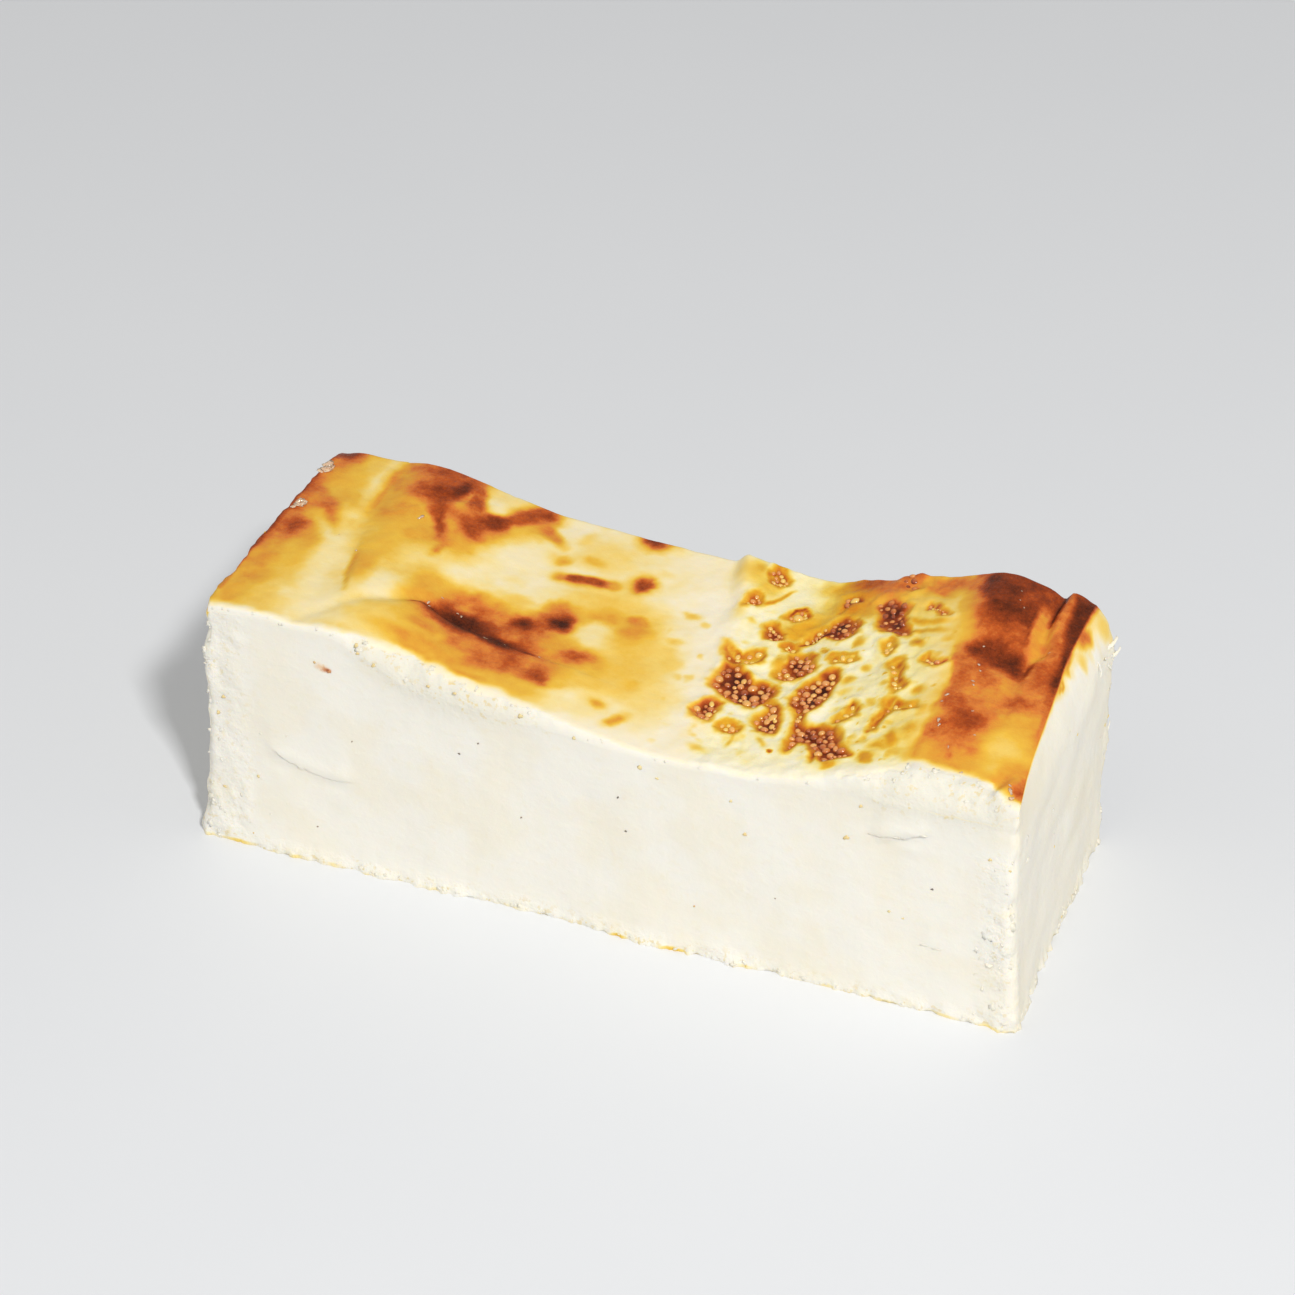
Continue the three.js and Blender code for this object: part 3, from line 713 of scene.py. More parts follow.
# %% Ground tones and the large zones
# along the bar: (x, level of the skin between the marks)
GROUND = [
    (-91, 0.42), (-84, 0.37), (-77, 0.27), (-70, 0.26), (-62, 0.34), (-55, 0.25), (-48, 0.16), (-42, 0.15),
    (-30, 0.13), (-18, 0.19), (-8, 0.16), (0, 0.12), (6, 0.08), (12, 0.07), (22, 0.08), (44, 0.09),
    (50, 0.11), (56, 0.14), (62, 0.20), (66, 0.32), (92, 0.34),
]
# y, x where the brown end zone starts
BROWN_ZONE_START = [
    (-35, 74), (-29, 69), (-27, 66.6), (-22, 66.0), (-15, 65.2), (-11, 65), (-9, 66.4), (-5, 66.0),
    (0, 65.0), (5, 64), (12, 61.6), (18, 59.8), (26, 59.4), (35, 60.5),
]
BROWN_ZONE_LEVEL, BROWN_ZONE_EDGE = 0.60, (-1.0, 0.8)

# name, middle, half-axes, heading of the first one, level, softness of its edge
LEFT_SPOTS = [
    ("corner", (-88.2, 31.5), (6.4, 6.2), 0, 0.72, 0.8),
    ("corner_dark", (-89.6, 32.5), (3.8, 4), 0, 0.86, 0.8),
    ("rim_orange", (-91, 20), (3.6, 12), 0, 0.62, 0.7), ("rim_mid", (-90.2, 8), (3.2, 10), 0, 0.63, 0.8),
    ("amber_streak", (-85.5, 24), (3.6, 5), 30, 0.50, 0.9),
    ("yellow_top", (-80.5, 30), (3.6, 5), 0, 0.34, 0.9),
    ("finger_root", (-86.5, 13.2), (4.4, 3.6), -30, 0.59, 0.8),
    ("gold_web", (-82, 17), (3.4, 6), 24, 0.42, 0.9), ("round_halo", (-85, -1.4), (4.6, 7.0), 22, 0.56, 0.7),
    ("round", (-84.8, -2.0), (2.8, 4.8), 22, 0.82, 0.8), ("rim_low", (-91, -8), (2, 12), 0, 0.64, 0.8),
    ("gold_low", (-86.4, -13), (4, 10), 0, 0.47, 0.8), ("gold_dark", (-85, -21), (3.4, 4), 0, 0.50, 0.9),
    ("gold_corner", (-87, -28), (3.6, 6), 0, 0.46, 0.8), ("gold_foot", (-80.5, -29), (5, 4), -20, 0.33, 0.9),
    ("gold_mid", (-81, -12), (3, 8), 12, 0.38, 0.9), ("gold_round", (-80.6, -3.6), (3.2, 4), 0, 0.48, 0.9),
    ("pale_band_top", (-77, 26), (1.5, 9), 4, 0.22, 0.9),
    ("pale_band_mid", (-78.5, 2), (2, 6), 34, 0.20, 0.9),
    ("pale_band", (-73.5, -13), (3.2, 14), 10, 0.17, 0.9), ("pale_foot", (-68, -26), (6, 7), 0, 0.15, 0.9),
    ("dome_orange", (-68.5, 27), (6.8, 8.6), 4, 0.54, 0.4),
    ("dome_back", (-62, 32.6), (8.4, 3.8), 0, 0.64, 0.8), ("dome_low", (-68, 15), (6.4, 7), 4, 0.47, 0.7),
    ("dome_mid", (-64.5, 27), (4, 4.4), 0, 0.62, 0.9), ("dome_gold", (-64, 5), (7, 8), 0, 0.40, 0.8),
    ("dome_patch", (-59, 7), (3, 3.6), 20, 0.46, 0.9), ("dome_patch_b", (-66, 1), (3.6, 2.6), 0, 0.42, 0.9),
    ("v_body", (-60.6, 25), (4.4, 4.4), 20, 0.70, 0.8),
    ("v_dark", (-58.2, 27.6), (1.9, 4.2), -10, 0.90, 0.8), ("v_left", (-61.4, 24), (2.6, 2), -30, 0.88, 0.8),
    ("v_fill", (-56.6, 19), (3.2, 4.4), 0, 0.60, 0.9), ("v_light", (-55, 22.6), (1.7, 2.2), 0, 0.48, 0.8),
    ("gold_v", (-52, 11), (5, 5.4), 0, 0.46, 0.9), ("pale_between", (-56, 0), (5, 4.6), 0, 0.24, 0.9),
    ("pale_heart", (-58, -14.4), (5.2, 5), 30, 0.14, 0.7), ("wedge", (-65.4, -8.5), (2.6, 6), 14, 0.46, 0.7),
    ("wedge_top", (-66, -2), (3.4, 3), 0, 0.40, 0.9), ("lobe_gold", (-53, -22), (4.6, 6.4), -42, 0.31, 0.8),
    ("lobe_low", (-55, -28), (7, 3), 0, 0.25, 0.9), ("m_left_gold", (-45.4, 19), (4.6, 4.8), 0, 0.54, 0.8),
    ("m_left_halo", (-50.6, 18.6), (4.6, 5.6), 10, 0.57, 0.7),
    ("m_left", (-51, 18), (2.4, 3.4), 8, 0.72, 0.9), ("m_dark", (-48.4, 22.2), (3.2, 1.8), 24, 0.88, 0.9),
    ("m_right_halo", (-41, 30), (5, 4.2), 40, 0.58, 0.7),
    ("m_right", (-40.6, 31), (3.2, 2.2), 40, 0.84, 0.9),
    ("yellow_back", (-48.6, 32.4), (4, 2.6), 0, 0.22, 0.8),
    ("m_low_gold", (-39.6, 24.6), (4, 2.8), 0, 0.44, 0.9), ("gold_link", (-33, 19), (3.4, 2), 0, 0.28, 0.9),
    ("tint_a", (-43.6, 10), (2.4, 1.6), 0, 0.22, 0.9), ("tint_b", (-37, 6), (2.2, 1.4), 0, 0.21, 0.9),
    ("tint_c", (-33, 1.5), (3.6, 1.2), 0, 0.27, 0.9),
    ("pale_open", (-39.0, 14.4), (5.6, 5.0), 20, 0.11, 0.9),
]
PATCH_SPOTS = [
    ("patch_gold", (-33, -15), (20.5, 15), -8, 0.43, 0.3),
    ("patch_left", (-50, -7), (4.6, 5.6), 30, 0.47, 0.8),
    ("patch_orange", (-34, -14), (15.5, 9.6), -5, 0.60, 0.4),
    ("upper_peak", (-40.4, -5.4), (5, 3.8), 8, 0.60, 0.8),
    ("patch_rust", (-36, -15.4), (10, 4.6), -10, 0.72, 0.7),
    ("patch_low", (-31, -22), (13, 3.4), -3, 0.61, 0.7),
    ("left_dark", (-42.5, -15.6), (4, 2.6), -20, 0.86, 0.8),
    ("above_slash", (-39.6, -11.6), (5.4, 2.4), -8, 0.92, 0.8),
    ("front_gold", (-42, -28), (12, 2.8), -6, 0.46, 0.7),
    ("front_amber", (-38, -26.6), (7, 2.4), -3, 0.52, 0.9),
    ("front_rim", (-36, -30.6), (10, 1.2), -2, 0.54, 0.9),
    ("front_rim_right", (-21, -29), (6, 2.6), 0, 0.42, 0.9),
    ("spot_a_halo", (-28, -6.8), (4.0, 3.6), 0, 0.70, 0.8),
    ("spot_a", (-28.4, -6.3), (2.2, 1.7), 10, 0.94, 0.9),
    ("spot_b_halo", (-22.2, -0.8), (4.8, 5.2), -30, 0.68, 0.6),
    ("spot_b", (-20.8, -2.4), (2.2, 2.5), 0, 0.95, 0.9),
    ("spot_b_top", (-23.4, 2.4), (2.6, 1.6), 0, 0.66, 0.9),
    ("spot_c_halo", (-12.6, -14), (7, 6), 0, 0.57, 0.6),
    ("spot_c", (-12.8, -13.2), (3.8, 2.5), 4, 0.78, 0.8),
    ("spot_d_halo", (-19, -22), (4, 3.4), 0, 0.58, 0.8),
    ("spot_d", (-18.2, -22.6), (2.2, 1.8), 0, 0.70, 0.9),
    ("light_right", (-22, -11), (3.6, 2.8), 0, 0.47, 0.9),
    ("pale_hole", (-13.2, -4.2), (2.3, 3.4), 6, 0.18, 0.8),
]
MIDDLE_SPOTS = [
    ("dot_a_halo", (-30, 18.4), (3, 3), 0, 0.26, 0.9), ("dot_a", (-30, 18.6), (1.4, 1.5), 0, 0.54, 0.9),
    ("dot_b_halo", (-23, 20.6), (4, 2.8), 0, 0.30, 0.9), ("dot_b", (-23, 20.9), (2.2, 1.3), -10, 0.52, 0.9),
    ("round_halo", (-11, 17.6), (3.4, 3.8), 0, 0.42, 0.6), ("round", (-11, 17.6), (2.0, 2.4), 0, 0.74, 0.7),
    ("back_halo", (-14, 34), (4.6, 4.0), 0, 0.46, 0.6),
    ("back_spot", (-13.8, 34.6), (3.2, 2.8), 0, 0.76, 0.7),
    ("yellow_back", (-27.4, 28), (2, 2.4), 0, 0.29, 0.9),
    ("yellow_back_b", (-21, 25), (6.6, 4.4), 0, 0.27, 0.9), ("pale_back", (-2, 30), (5, 4), 0, 0.08, 0.9),
    ("yellow_right", (-8, 22.6), (2.2, 1.5), -20, 0.24, 0.9),
    ("tint_wide", (-15, 8), (10, 4.2), 6, 0.33, 0.8), ("gold_link", (-13, 3.4), (5.6, 2.6), 4, 0.47, 0.8),
    ("cloud_wide", (-5.6, 1.4), (4.8, 6), 0, 0.40, 0.8), ("cloud_top", (-7, 5.2), (2.1, 1.5), 0, 0.62, 0.8),
    ("cloud_low", (-6.4, 1.2), (2.5, 2.6), 0, 0.57, 0.9), ("tint_low", (-3, -7), (6.8, 8), 0, 0.35, 0.9),
    ("tint_low_b", (-9, -18), (6, 4.2), 0, 0.36, 0.9), ("dot_halo", (-0.4, -14), (4.2, 5.4), 0, 0.36, 0.8),
    ("dot", (-0.2, -15.2), (1.4, 1.4), 0, 0.52, 0.9), ("dot_c_halo", (-4.8, -24.6), (3, 2.6), 0, 0.28, 0.8),
    ("dot_c", (-4.8, -24.6), (1.4, 1.3), 0, 0.48, 0.8), ("dot_d", (-13.6, -22.8), (1.7, 1.4), 0, 0.37, 0.9),
    ("tint_front", (-8, -28), (4, 2.4), 0, 0.20, 0.9), ("dash_up", (2.2, 12), (2.0, 1.3), -10, 0.37, 0.8),
    ("yellow_a", (2.2, 2.4), (1.6, 1.3), 0, 0.33, 0.9), ("yellow_b", (1.8, -1.2), (2.2, 1.5), 0, 0.30, 0.9),
    ("yellow_c", (5.4, -5), (2, 1.8), 0, 0.24, 0.9), ("yellow_d", (7.8, -8.2), (1.1, 0.9), 0, 0.26, 0.9),
    ("yellow_e", (9.8, -15), (2, 1.6), 0, 0.16, 0.9), ("tint_right", (5, -19), (5, 8), 0, 0.26, 0.9),
    ("tint_link", (3.4, -4.6), (3.4, 4), 0, 0.31, 0.9),
]
BLISTER_SPOTS = [
    ("lip_yellow", (8.6, 30), (2.6, 4.4), 0, 0.27, 0.9), ("lip_gold", (11.2, 30), (1.6, 3.6), 0, 0.36, 0.9),
    ("lip_low", (12, 17.6), (1.4, 3), 0, 0.24, 0.9), ("lip_haze", (15, 27), (3.4, 5), 0, 0.33, 0.9),
    ("back_yellow", (28.5, 31), (3.6, 2.4), 0, 0.32, 0.9),
    ("golden_web", (27.5, 15.6), (5.6, 4.2), 20, 0.43, 0.8),
    ("back_orange", (41.5, 29.6), (10, 5.4), 0, 0.60, 0.5), ("back_core", (45, 27.6), (6, 5), 0, 0.68, 0.9),
    ("back_dark", (46.2, 33.6), (2.8, 3.4), 0, 0.95, 0.7), ("back_rust", (41, 33), (8, 2.0), 0, 0.66, 0.8),
    ("back_gold", (36.6, 23.4), (8, 5), 0, 0.46, 0.9), ("hump_gold", (53.5, 25), (8, 7), 0, 0.32, 0.8),
    ("hump_orange", (56, 32), (6.4, 3.8), 0, 0.60, 0.8), ("right_yellow", (56, 13), (7, 7), 0, 0.22, 0.9),
    ("right_pale", (52, 8), (2, 6), 20, 0.12, 0.9), ("right_pale_c", (50.4, -7.5), (2.4, 4.6), 0, 0.11, 0.9),
    ("right_pale_b", (57, -2), (2.6, 4), 0, 0.15, 0.9), ("right_low", (61, -16), (4, 7), 0, 0.22, 0.9),
    ("web_left", (26, 4), (1.4, 2.4), 10, 0.40, 0.9), ("yellow_f", (42, 11.6), (1.1, 1.4), 0, 0.40, 0.9),
    ("yellow_g", (34, 9), (1.1, 1.2), 0, 0.42, 0.9), ("yellow_h", (43.8, -5.6), (1.2, 1.3), 0, 0.27, 0.9),
    ("yellow_i", (47, -5.4), (0.8, 0.7), 0, 0.24, 0.9), ("yellow_j", (15.3, 15), (1.0, 1.0), 0, 0.27, 0.9),
    ("yellow_k", (20.3, -29.4), (2.4, 1.3), -24, 0.31, 0.9),
    ("yellow_l", (31.4, -31), (1.1, 0.9), 0, 0.26, 0.9),
    ("yellow_m", (16.4, -22.2), (0.9, 0.9), 0, 0.24, 0.9),
    ("drip", (48.4, -30.6), (2.6, 1.8), 10, 0.42, 0.8),
    ("brown_dot", (35.9, -27.1), (0.5, 0.7), 0, 0.64, 0.5),
    ("olive_a", (42.6, -1.4), (1.3, 1.7), 0, 0.38, 0.9), ("ring", (46, 2.8), (1.2, 1.1), 0, 0.36, 0.8),
    ("right_dot", (54.4, 10.6), (1.7, 1.0), -50, 0.47, 0.8),
    ("right_dot_b", (60.8, -5.8), (1.5, 1.3), 0, 0.43, 0.9),
    ("right_dot_c", (59.4, -21.4), (1.6, 1.8), 0, 0.45, 0.8),
    ("right_dot_d", (57, -23.6), (2.2, 1.4), 0, 0.40, 0.9),
    ("right_dot_e", (56.2, -28.2), (1.8, 2.2), 30, 0.45, 0.8),
    ("right_dot_f", (62.8, -19.2), (1.4, 2), 0, 0.42, 0.9),
    ("right_dot_g", (51, -21), (0.8, 1.6), 0, 0.31, 0.9),
    ("right_dot_h", (61, 12), (1.6, 1.1), 0, 0.38, 0.9),
    ("right_dot_i", (57, -3.4), (0.9, 1.2), 0, 0.42, 0.9),
    ("right_dot_j", (63, -12.6), (1.2, 1.8), 20, 0.40, 0.9),
    ("right_dot_k", (53.6, -21.6), (0.9, 1.1), 0, 0.36, 0.9),
]
RIGHT_SPOTS = [
    ("left_lit", (63, 20), (2.6, 9), 0, 0.59, 0.9), ("mid_brown", (70, 17), (5.6, 4.4), 0, 0.69, 0.8),
    ("mid_dark", (70.5, 20.5), (4, 2.4), 0, 0.76, 0.9),
    ("light_spine", (78.0, 19.4), (2.0, 7.5), 3, 0.48, 0.5),
    ("light_foot", (79.6, 12), (1.9, 2), 0, 0.52, 0.8), ("light_low", (76.5, -1.5), (5.4, 5), 0, 0.52, 0.8),
    ("light_low_b", (73, -5.4), (3, 2.4), 0, 0.57, 0.9), ("rust_strip", (83.2, 18), (2.2, 9), 0, 0.63, 0.8),
    ("strip_lit", (81.4, 29), (1.3, 4), 0, 0.60, 0.9), ("rust_round", (83.4, 5), (3.0, 4.0), 0, 0.65, 0.8),
    ("rust_low", (82.6, -4.6), (3.6, 2.6), 0, 0.68, 0.9), ("rust_mid", (67.6, -8), (1.6, 6), 0, 0.63, 0.9),
    ("patch_halo", (73, -14.6), (5, 5.4), 0, 0.63, 0.9), ("orange_mid", (75.4, -17), (4, 3.6), 0, 0.64, 0.9),
    ("patch", (73.2, -12.6), (3, 2.2), 0, 0.80, 0.9), ("rust_front", (68.4, -18), (2.2, 4), 0, 0.66, 0.9),
    ("gold", (83.6, -13), (4.6, 5.6), 0, 0.44, 0.8), ("gold_pale", (83, -19.4), (5.8, 4.4), -6, 0.30, 0.9),
    ("gold_low", (82, -25.4), (4.6, 2.6), 0, 0.36, 0.9),
    ("amber_front", (70.6, -25.2), (5.6, 4), 0, 0.46, 0.8),
    ("amber_front_b", (77.6, -26), (3.4, 2.6), 0, 0.44, 0.9),
    ("corner_amber", (87.4, -26.5), (1.5, 4.6), -12, 0.47, 0.8),
    ("corner_stroke", (84.8, -28), (0.9, 2.6), -8, 0.47, 0.9),
    ("corner_rust", (88.4, -31.6), (1.7, 1.2), 30, 0.70, 0.8),
    ("crumb_a", (71.6, -28.2), (1.8, 0.7), 0, 0.62, 0.8),
    ("crumb_b", (75.6, -28.4), (1.4, 0.6), 0, 0.60, 0.8),
    ("dot_left", (70.6, -7.6), (1.3, 1.3), 0, 0.69, 0.9),
]
print("spots:", sum(len(s) for s in (LEFT_SPOTS, PATCH_SPOTS, MIDDLE_SPOTS, BLISTER_SPOTS, RIGHT_SPOTS)))

# %% Strokes and dark outlines of the browning
# name, path in plan, half width at its start and end, level, softness of its edge in millimetres
STROKES = [
    ("finger", [(-87, 14), (-82.4, 10), (-76.4, 1)], (2.4, 0.1), 0.56, 2.2),
    ("rim_edge", [(-90.8, 34), (-90.8, 10), (-91, -6), (-90.4, -28)], (0.7, 0.25), 0.74, 0.8),
    ("dome_edge", [(-74.2, 32), (-74.4, 24), (-73.6, 15)], (0.5, 0.3), 0.56, 1.1),
    ("wedge_edge", [(-69, -3.5), (-67.4, -11), (-65.2, -19)], (0.4, 0.3), 0.52, 1.0),
    ("v_stroke", [(-61, 23.4), (-58.6, 16.6), (-55.4, 9.4)], (1.9, 0.6), 0.73, 1.7),
    ("v_right", [(-56.2, 32.6), (-53.8, 27), (-52, 20.6)], (1.2, 1.5), 0.68, 1.6),
    ("v_bottom", [(-53.4, 9.5), (-54.4, 6.5), (-54.8, 3.6)], (0.9, 0.5), 0.58, 1.3),
    ("m_band", [(-50, 20.4), (-46.6, 23.6), (-43, 28), (-39.6, 32.6)], (1.5, 1.6), 0.78, 1.8),
    ("m_leg", [(-39.4, 29), (-35.6, 25.6), (-31.2, 22.8)], (1.6, 0.8), 0.62, 1.7),
    ("bar_halo", [(-27.4, 12.4), (-17, 14.4)], (2.3, 2.1), 0.42, 1.7),
    ("bar", [(-27.6, 12.6), (-22, 13.9), (-16.4, 14.6)], (1.3, 1.5), 0.74, 1.1),
    ("slash", [(-48, -13.4), (-43, -13.7), (-37, -14.6), (-31, -15.3), (-25, -15.7)], (1.2, 1.3), 0.98, 1.7),
    ("slash_body", [(-42, -13.2), (-36, -13.6), (-30, -14.6)], (1.6, 1.2), 0.95, 1.8),
    ("slash_tip", [(-51.6, -14.2), (-49.6, -12.9), (-46, -13.2)], (0.25, 0.6), 0.90, 0.7),
    ("slash_line", [(-25, -15.7), (-21.4, -16.2)], (0.4, 0.1), 0.88, 0.7),
    ("dash", [(-0.4, -30), (2.6, -25.2)], (0.9, 1.1), 0.49, 1.5),
    ("sliver_tail", [(25.6, -22), (25.4, -27)], (0.5, 0.3), 0.36, 1.0),
    ("front_streak", [(31, -22.6), (34, -26)], (0.4, 0.3), 0.34, 1.0),
    ("lip_arc", [(16, 20.6), (18.4, 23.4), (21, 28.4)], (0.3, 0.15), 0.50, 0.7),
    ("crease", [(28, 10.8), (30.4, 12.6), (33.2, 14.6), (34.4, 17)], (0.25, 0.5), 0.90, 0.6),
    ("small_arc", [(21.9, 18.4), (23.4, 21.4), (25, 22.3), (27, 21)], (0.25, 0.15), 0.78, 0.6),
    ("streak_line", [(54.1, 3.4), (53.9, 0), (54.6, -3.6)], (0.15, 0.2), 0.70, 0.6),
    ("hump_line", [(49.5, 19), (54, 17.8), (60, 17.2)], (0.4, 0.3), 0.46, 1.2),
    ("hump_line_b", [(50, 14.4), (55, 15), (61, 14.4)], (0.4, 0.3), 0.44, 1.2),
    ("back_line", [(49.6, 31), (53, 29), (57.6, 26.4)], (0.4, 0.3), 0.54, 1.2),
    ("hook_tail", [(54.8, -9.6), (55.2, -14), (54, -19)], (0.4, 0.3), 0.56, 0.9),
    ("rim_dark", [(84.8, 37), (85.2, 27), (86.0, 19), (86.6, 8), (87.2, -4)], (2.2, 0.5), 0.90, 1.4),
    ("rim_rust", [(87.0, 4), (87.3, -4), (87.8, -12)], (0.4, 0.2), 0.70, 0.9),
    # painted shadow: fold_shadow lays the shade of the slit under the right rim fold as near-black browning
    ("fold_shadow", [(80.4, 36), (79.8, 27), (79.4, 23)], (0.6, 0.25), 0.97, 0.7),
    ("fold_low", [(79.8, 10), (79.6, 5.0)], (0.3, 0.2), 0.86, 0.8),
    ("spine_edge", [(76.2, 27), (76, 21), (76.8, 15)], (0.25, 0.2), 0.80, 0.8),
    ("ridge_a", [(72.4, -20), (73.4, -25)], (0.3, 0.2), 0.62, 0.8),
    ("ridge_b", [(81.6, 24), (81, 17), (82.4, 13)], (0.3, 0.2), 0.55, 0.7),
]
# name, outline corners, level, softness of the edge in millimetres
DARK_OUTLINES = [
    ("hump", [(63.2, 33), (64, 37), (80.4, 37), (80.2, 29), (77.4, 28), (75.8, 25), (75.8, 20.6), (73, 19.6),
              (69.6, 20.4), (66.6, 23), (63, 27.4)], 0.79, 1.8),
    ("hump_core", [(64, 32), (70, 33), (72, 28), (70, 22.6), (67.4, 23.6), (64.4, 28)], 0.85, 2.4),
    ("hump_front", [(71, 25), (75.6, 26), (75.6, 21.4), (71, 21)], 0.85, 1.8),
    ("hollow", [(66.4, 9.0), (68.2, 12), (72.4, 12.8), (76.6, 10.8), (79.2, 7.4), (78.8, 5.0), (74.8, 5.4),
                (70, 6.4)], 0.88, 2.0),
]
print(len(STROKES), "strokes")

# %% [markdown]
# ## Laying the browning on
# Before a spot is laid, the places are shifted a little by two clouds, so that no edge is a clean
# curve. Clusters come last: their depth inside the outline decides the tone, from an olive yellow
# seam through orange to a dark middle.

# %% Lay the browning on the top
EDGE_SHIFTS = [(6.0, 0.8), (2.4, 0.5), (1.0, 0.3)]
# millimetres inside a cluster's outline, and the browning there
SEAM_TONES = [
    (-2.4, 0.0), (-1.5, 0.15), (-0.9, 0.28), (-0.4, 0.40), (0.1, 0.51), (0.7, 0.63), (1.5, 0.76), (2.6, 0.88),
]
HALO_LEVEL, HALO_REACH = 0.22, 1.6
# fields of small straw and olive spots: from and to along the bar, size, where they set in, level, seed
MOTTLES = [
    (14, 50, 2.8, 0.0, 1.5, 0.27, 71), (48, 66, 3.2, -0.5, 1.4, 0.34, 73), (49, 66, 1.5, 0.5, 1.4, 0.50, 77),
    (20, 50, 1.4, 0.6, 1.5, 0.36, 79), (-6, 12, 3.4, 0.3, 1.2, 0.28, 75),
]
# how far from its torn front edge the skin is paler, and how much farther in the middle of the bar
SKIN_FADE, PALE_FADE = 2.2, 4.2
FADE_STRENGTH, FADED_LEVEL, TORN_LEVEL = 0.92, 0.03, 0.04
# the stretch along the bar where the pale skin at the front is widest: it sets in and ends softly
PALE_SETS_IN, PALE_ENDS = (-14, -4), (60, 68)
MARBLING = [(8.0, 0.055, 53), (3.2, 0.06, 54), (1.3, 0.035, 55)]


def cover(under, over, share):
    """A tone laid over another."""
    return under + (over - under) * share


def shifted(x, y, seed):
    """Places moved a little by clouds, to break even edges."""
    points = flat_points(x, y)
    for step, (size, reach) in enumerate(EDGE_SHIFTS):
        x = x + reach * cloud(points, size, seed + 2 * step)
        y = y + reach * cloud(points, size, seed + 2 * step + 1)
    return x, y


def browning(x, y):
    """Browning of the top at places in plan."""
    points = flat_points(x, y)
    sx, sy = shifted(x, y, 41)
    tone = along(GROUND, sx)
    for size, reach, seed in MARBLING:
        tone = tone + reach * cloud(points, size, seed) * (0.4 + 1.6 * np.minimum(tone, 0.4))
    zone = ease(sx - along(BROWN_ZONE_START, sy), *BROWN_ZONE_EDGE)
    tone = cover(tone, BROWN_ZONE_LEVEL, zone)
    for spots in (LEFT_SPOTS, PATCH_SPOTS, MIDDLE_SPOTS, RIGHT_SPOTS, BLISTER_SPOTS):
        for _, at, half, turn, over, soft in spots:
            tone = cover(tone, over, 1 - ease(in_ellipse(at, half, turn, sx, sy), 1 - soft, 1 + soft))
    for _, corners, over, soft in DARK_OUTLINES:
        tone = cover(tone, over, ease(in_outline(corners, sx, sy), -soft, soft))
    nx, ny = x + 0.4 * (sx - x), y + 0.4 * (sy - y)
    width_change = 1 + 0.35 * cloud(points, 3.0, 56)
    for _, path, (start, end), over, soft in STROKES:
        away, share = from_path(path, nx, ny)
        edge = np.abs(away) - blend(start, end, share) * width_change
        strength = (0.5 + 0.5 * ease(share, 0, 0.2)) * (1 - 0.6 * ease(share, 0.7, 1))
        tone = cover(tone, over, strength * (1 - ease(edge, -0.5 * soft, soft)))
    for start, end, size, least, most, level_here, seed in MOTTLES:
        strength = ease(cloud(points, size, seed) + 0.5 * cloud(points, 0.45 * size, seed + 1), least, most)
        inside_field = ease(x, start - 3, start + 3) * (1 - ease(x, end - 2, end + 2)) * ease(y, -33, -29)
        inside_field = inside_field * (1 - ease(y, 18, 26))
        tone = np.maximum(tone, level_here * strength * inside_field)
    depth_edges, tones = np.array(SEAM_TONES).T
    ragged = 0.5 * cloud(points, 1.8, 51) + 0.25 * cloud(points, 0.8, 52)
    mottled = 1 + 0.24 * cloud(points, 2.2, 57)
    creased = 0.84 + 0.34 * lumpy(points, 1.9, 58)
    for middle, _, corners in CLUSTERS.values():
        inside = in_outline(corners, x, y) + ragged
        haze = HALO_LEVEL * np.exp(-np.maximum(-inside, 0) / HALO_REACH)
        patches = mottled if middle > 0.68 else creased
        burnt = np.minimum(np.interp(inside, depth_edges, tones), middle)
        burnt = burnt * cover(1, patches, ease(inside, -0.6, 0.6))
        tone = np.maximum(tone, np.maximum(haze, burnt))
    wander = sum(reach * cloud(points, size, seed + 10) for size, reach, seed in MARBLING)
    return np.clip(tone + wander * ease(tone, 0.3, 0.6), 0.02, 1)


bake = np.zeros(count)
bake[on_top] = browning(shape[on_top, 0], shape[on_top, 1])
torn = np.zeros(count)
torn[on_top] = ease(torn_share(shape[on_top, 0], shape[on_top, 1]), 0.0, 0.25)
wander_in = 1.0 * cloud(shape, 3.4, 83) + 0.5 * cloud(shape, 1.5, 84)
from_skin_edge = shape[:, 1] - along(SKIN_FRONT, shape[:, 0]) + wander_in
pale_front = ease(shape[:, 0], *PALE_SETS_IN) * (1 - ease(shape[:, 0], *PALE_ENDS))
faded = 1 - ease(from_skin_edge, -0.6, SKIN_FADE + PALE_FADE * pale_front)
faded = FADE_STRENGTH * faded * (1 - 0.9 * pale_front * ease(bake, 0.28, 0.42))
bake[on_top] = cover(cover(bake, FADED_LEVEL, faded), TORN_LEVEL, torn)[on_top]
print("mean browning of the top:", round(float(bake[on_top].mean()), 3))

# %% [markdown]
# ## Browning of the walls
# Under the rims the tin browned the shoulders for a few millimetres. Along the foot runs a thin tan
# skin where the bar stood on paper. The cuts between are raw cream.

# %% Lay the browning on the walls
# the torn strip: least share of its look, and how much of the torn look the cream under it takes, with its
# painted shade, to which depth, and how it crumbles
LEAST_STRIP_SHOWN = 0.2
UNDER_STRIP_SHARE, UNDER_STRIP_REACH, UNDER_STRIP_CRUMBLE = 0.8, 3.5, 0.6
STRIP_CRUMBLE = 0.45
# y, depth to which the shoulder under each rim is browned
RIGHT_SHOULDER_BROWN = [(-35, 0.6), (0, 1.0), (5, 2.4), (10, 3.6), (20, 5.4), (28, 7.5), (35, 9.5)]
LEFT_SHOULDER_BROWN = [(-35, 2.5), (-10, 4), (10, 5.5), (35, 7)]
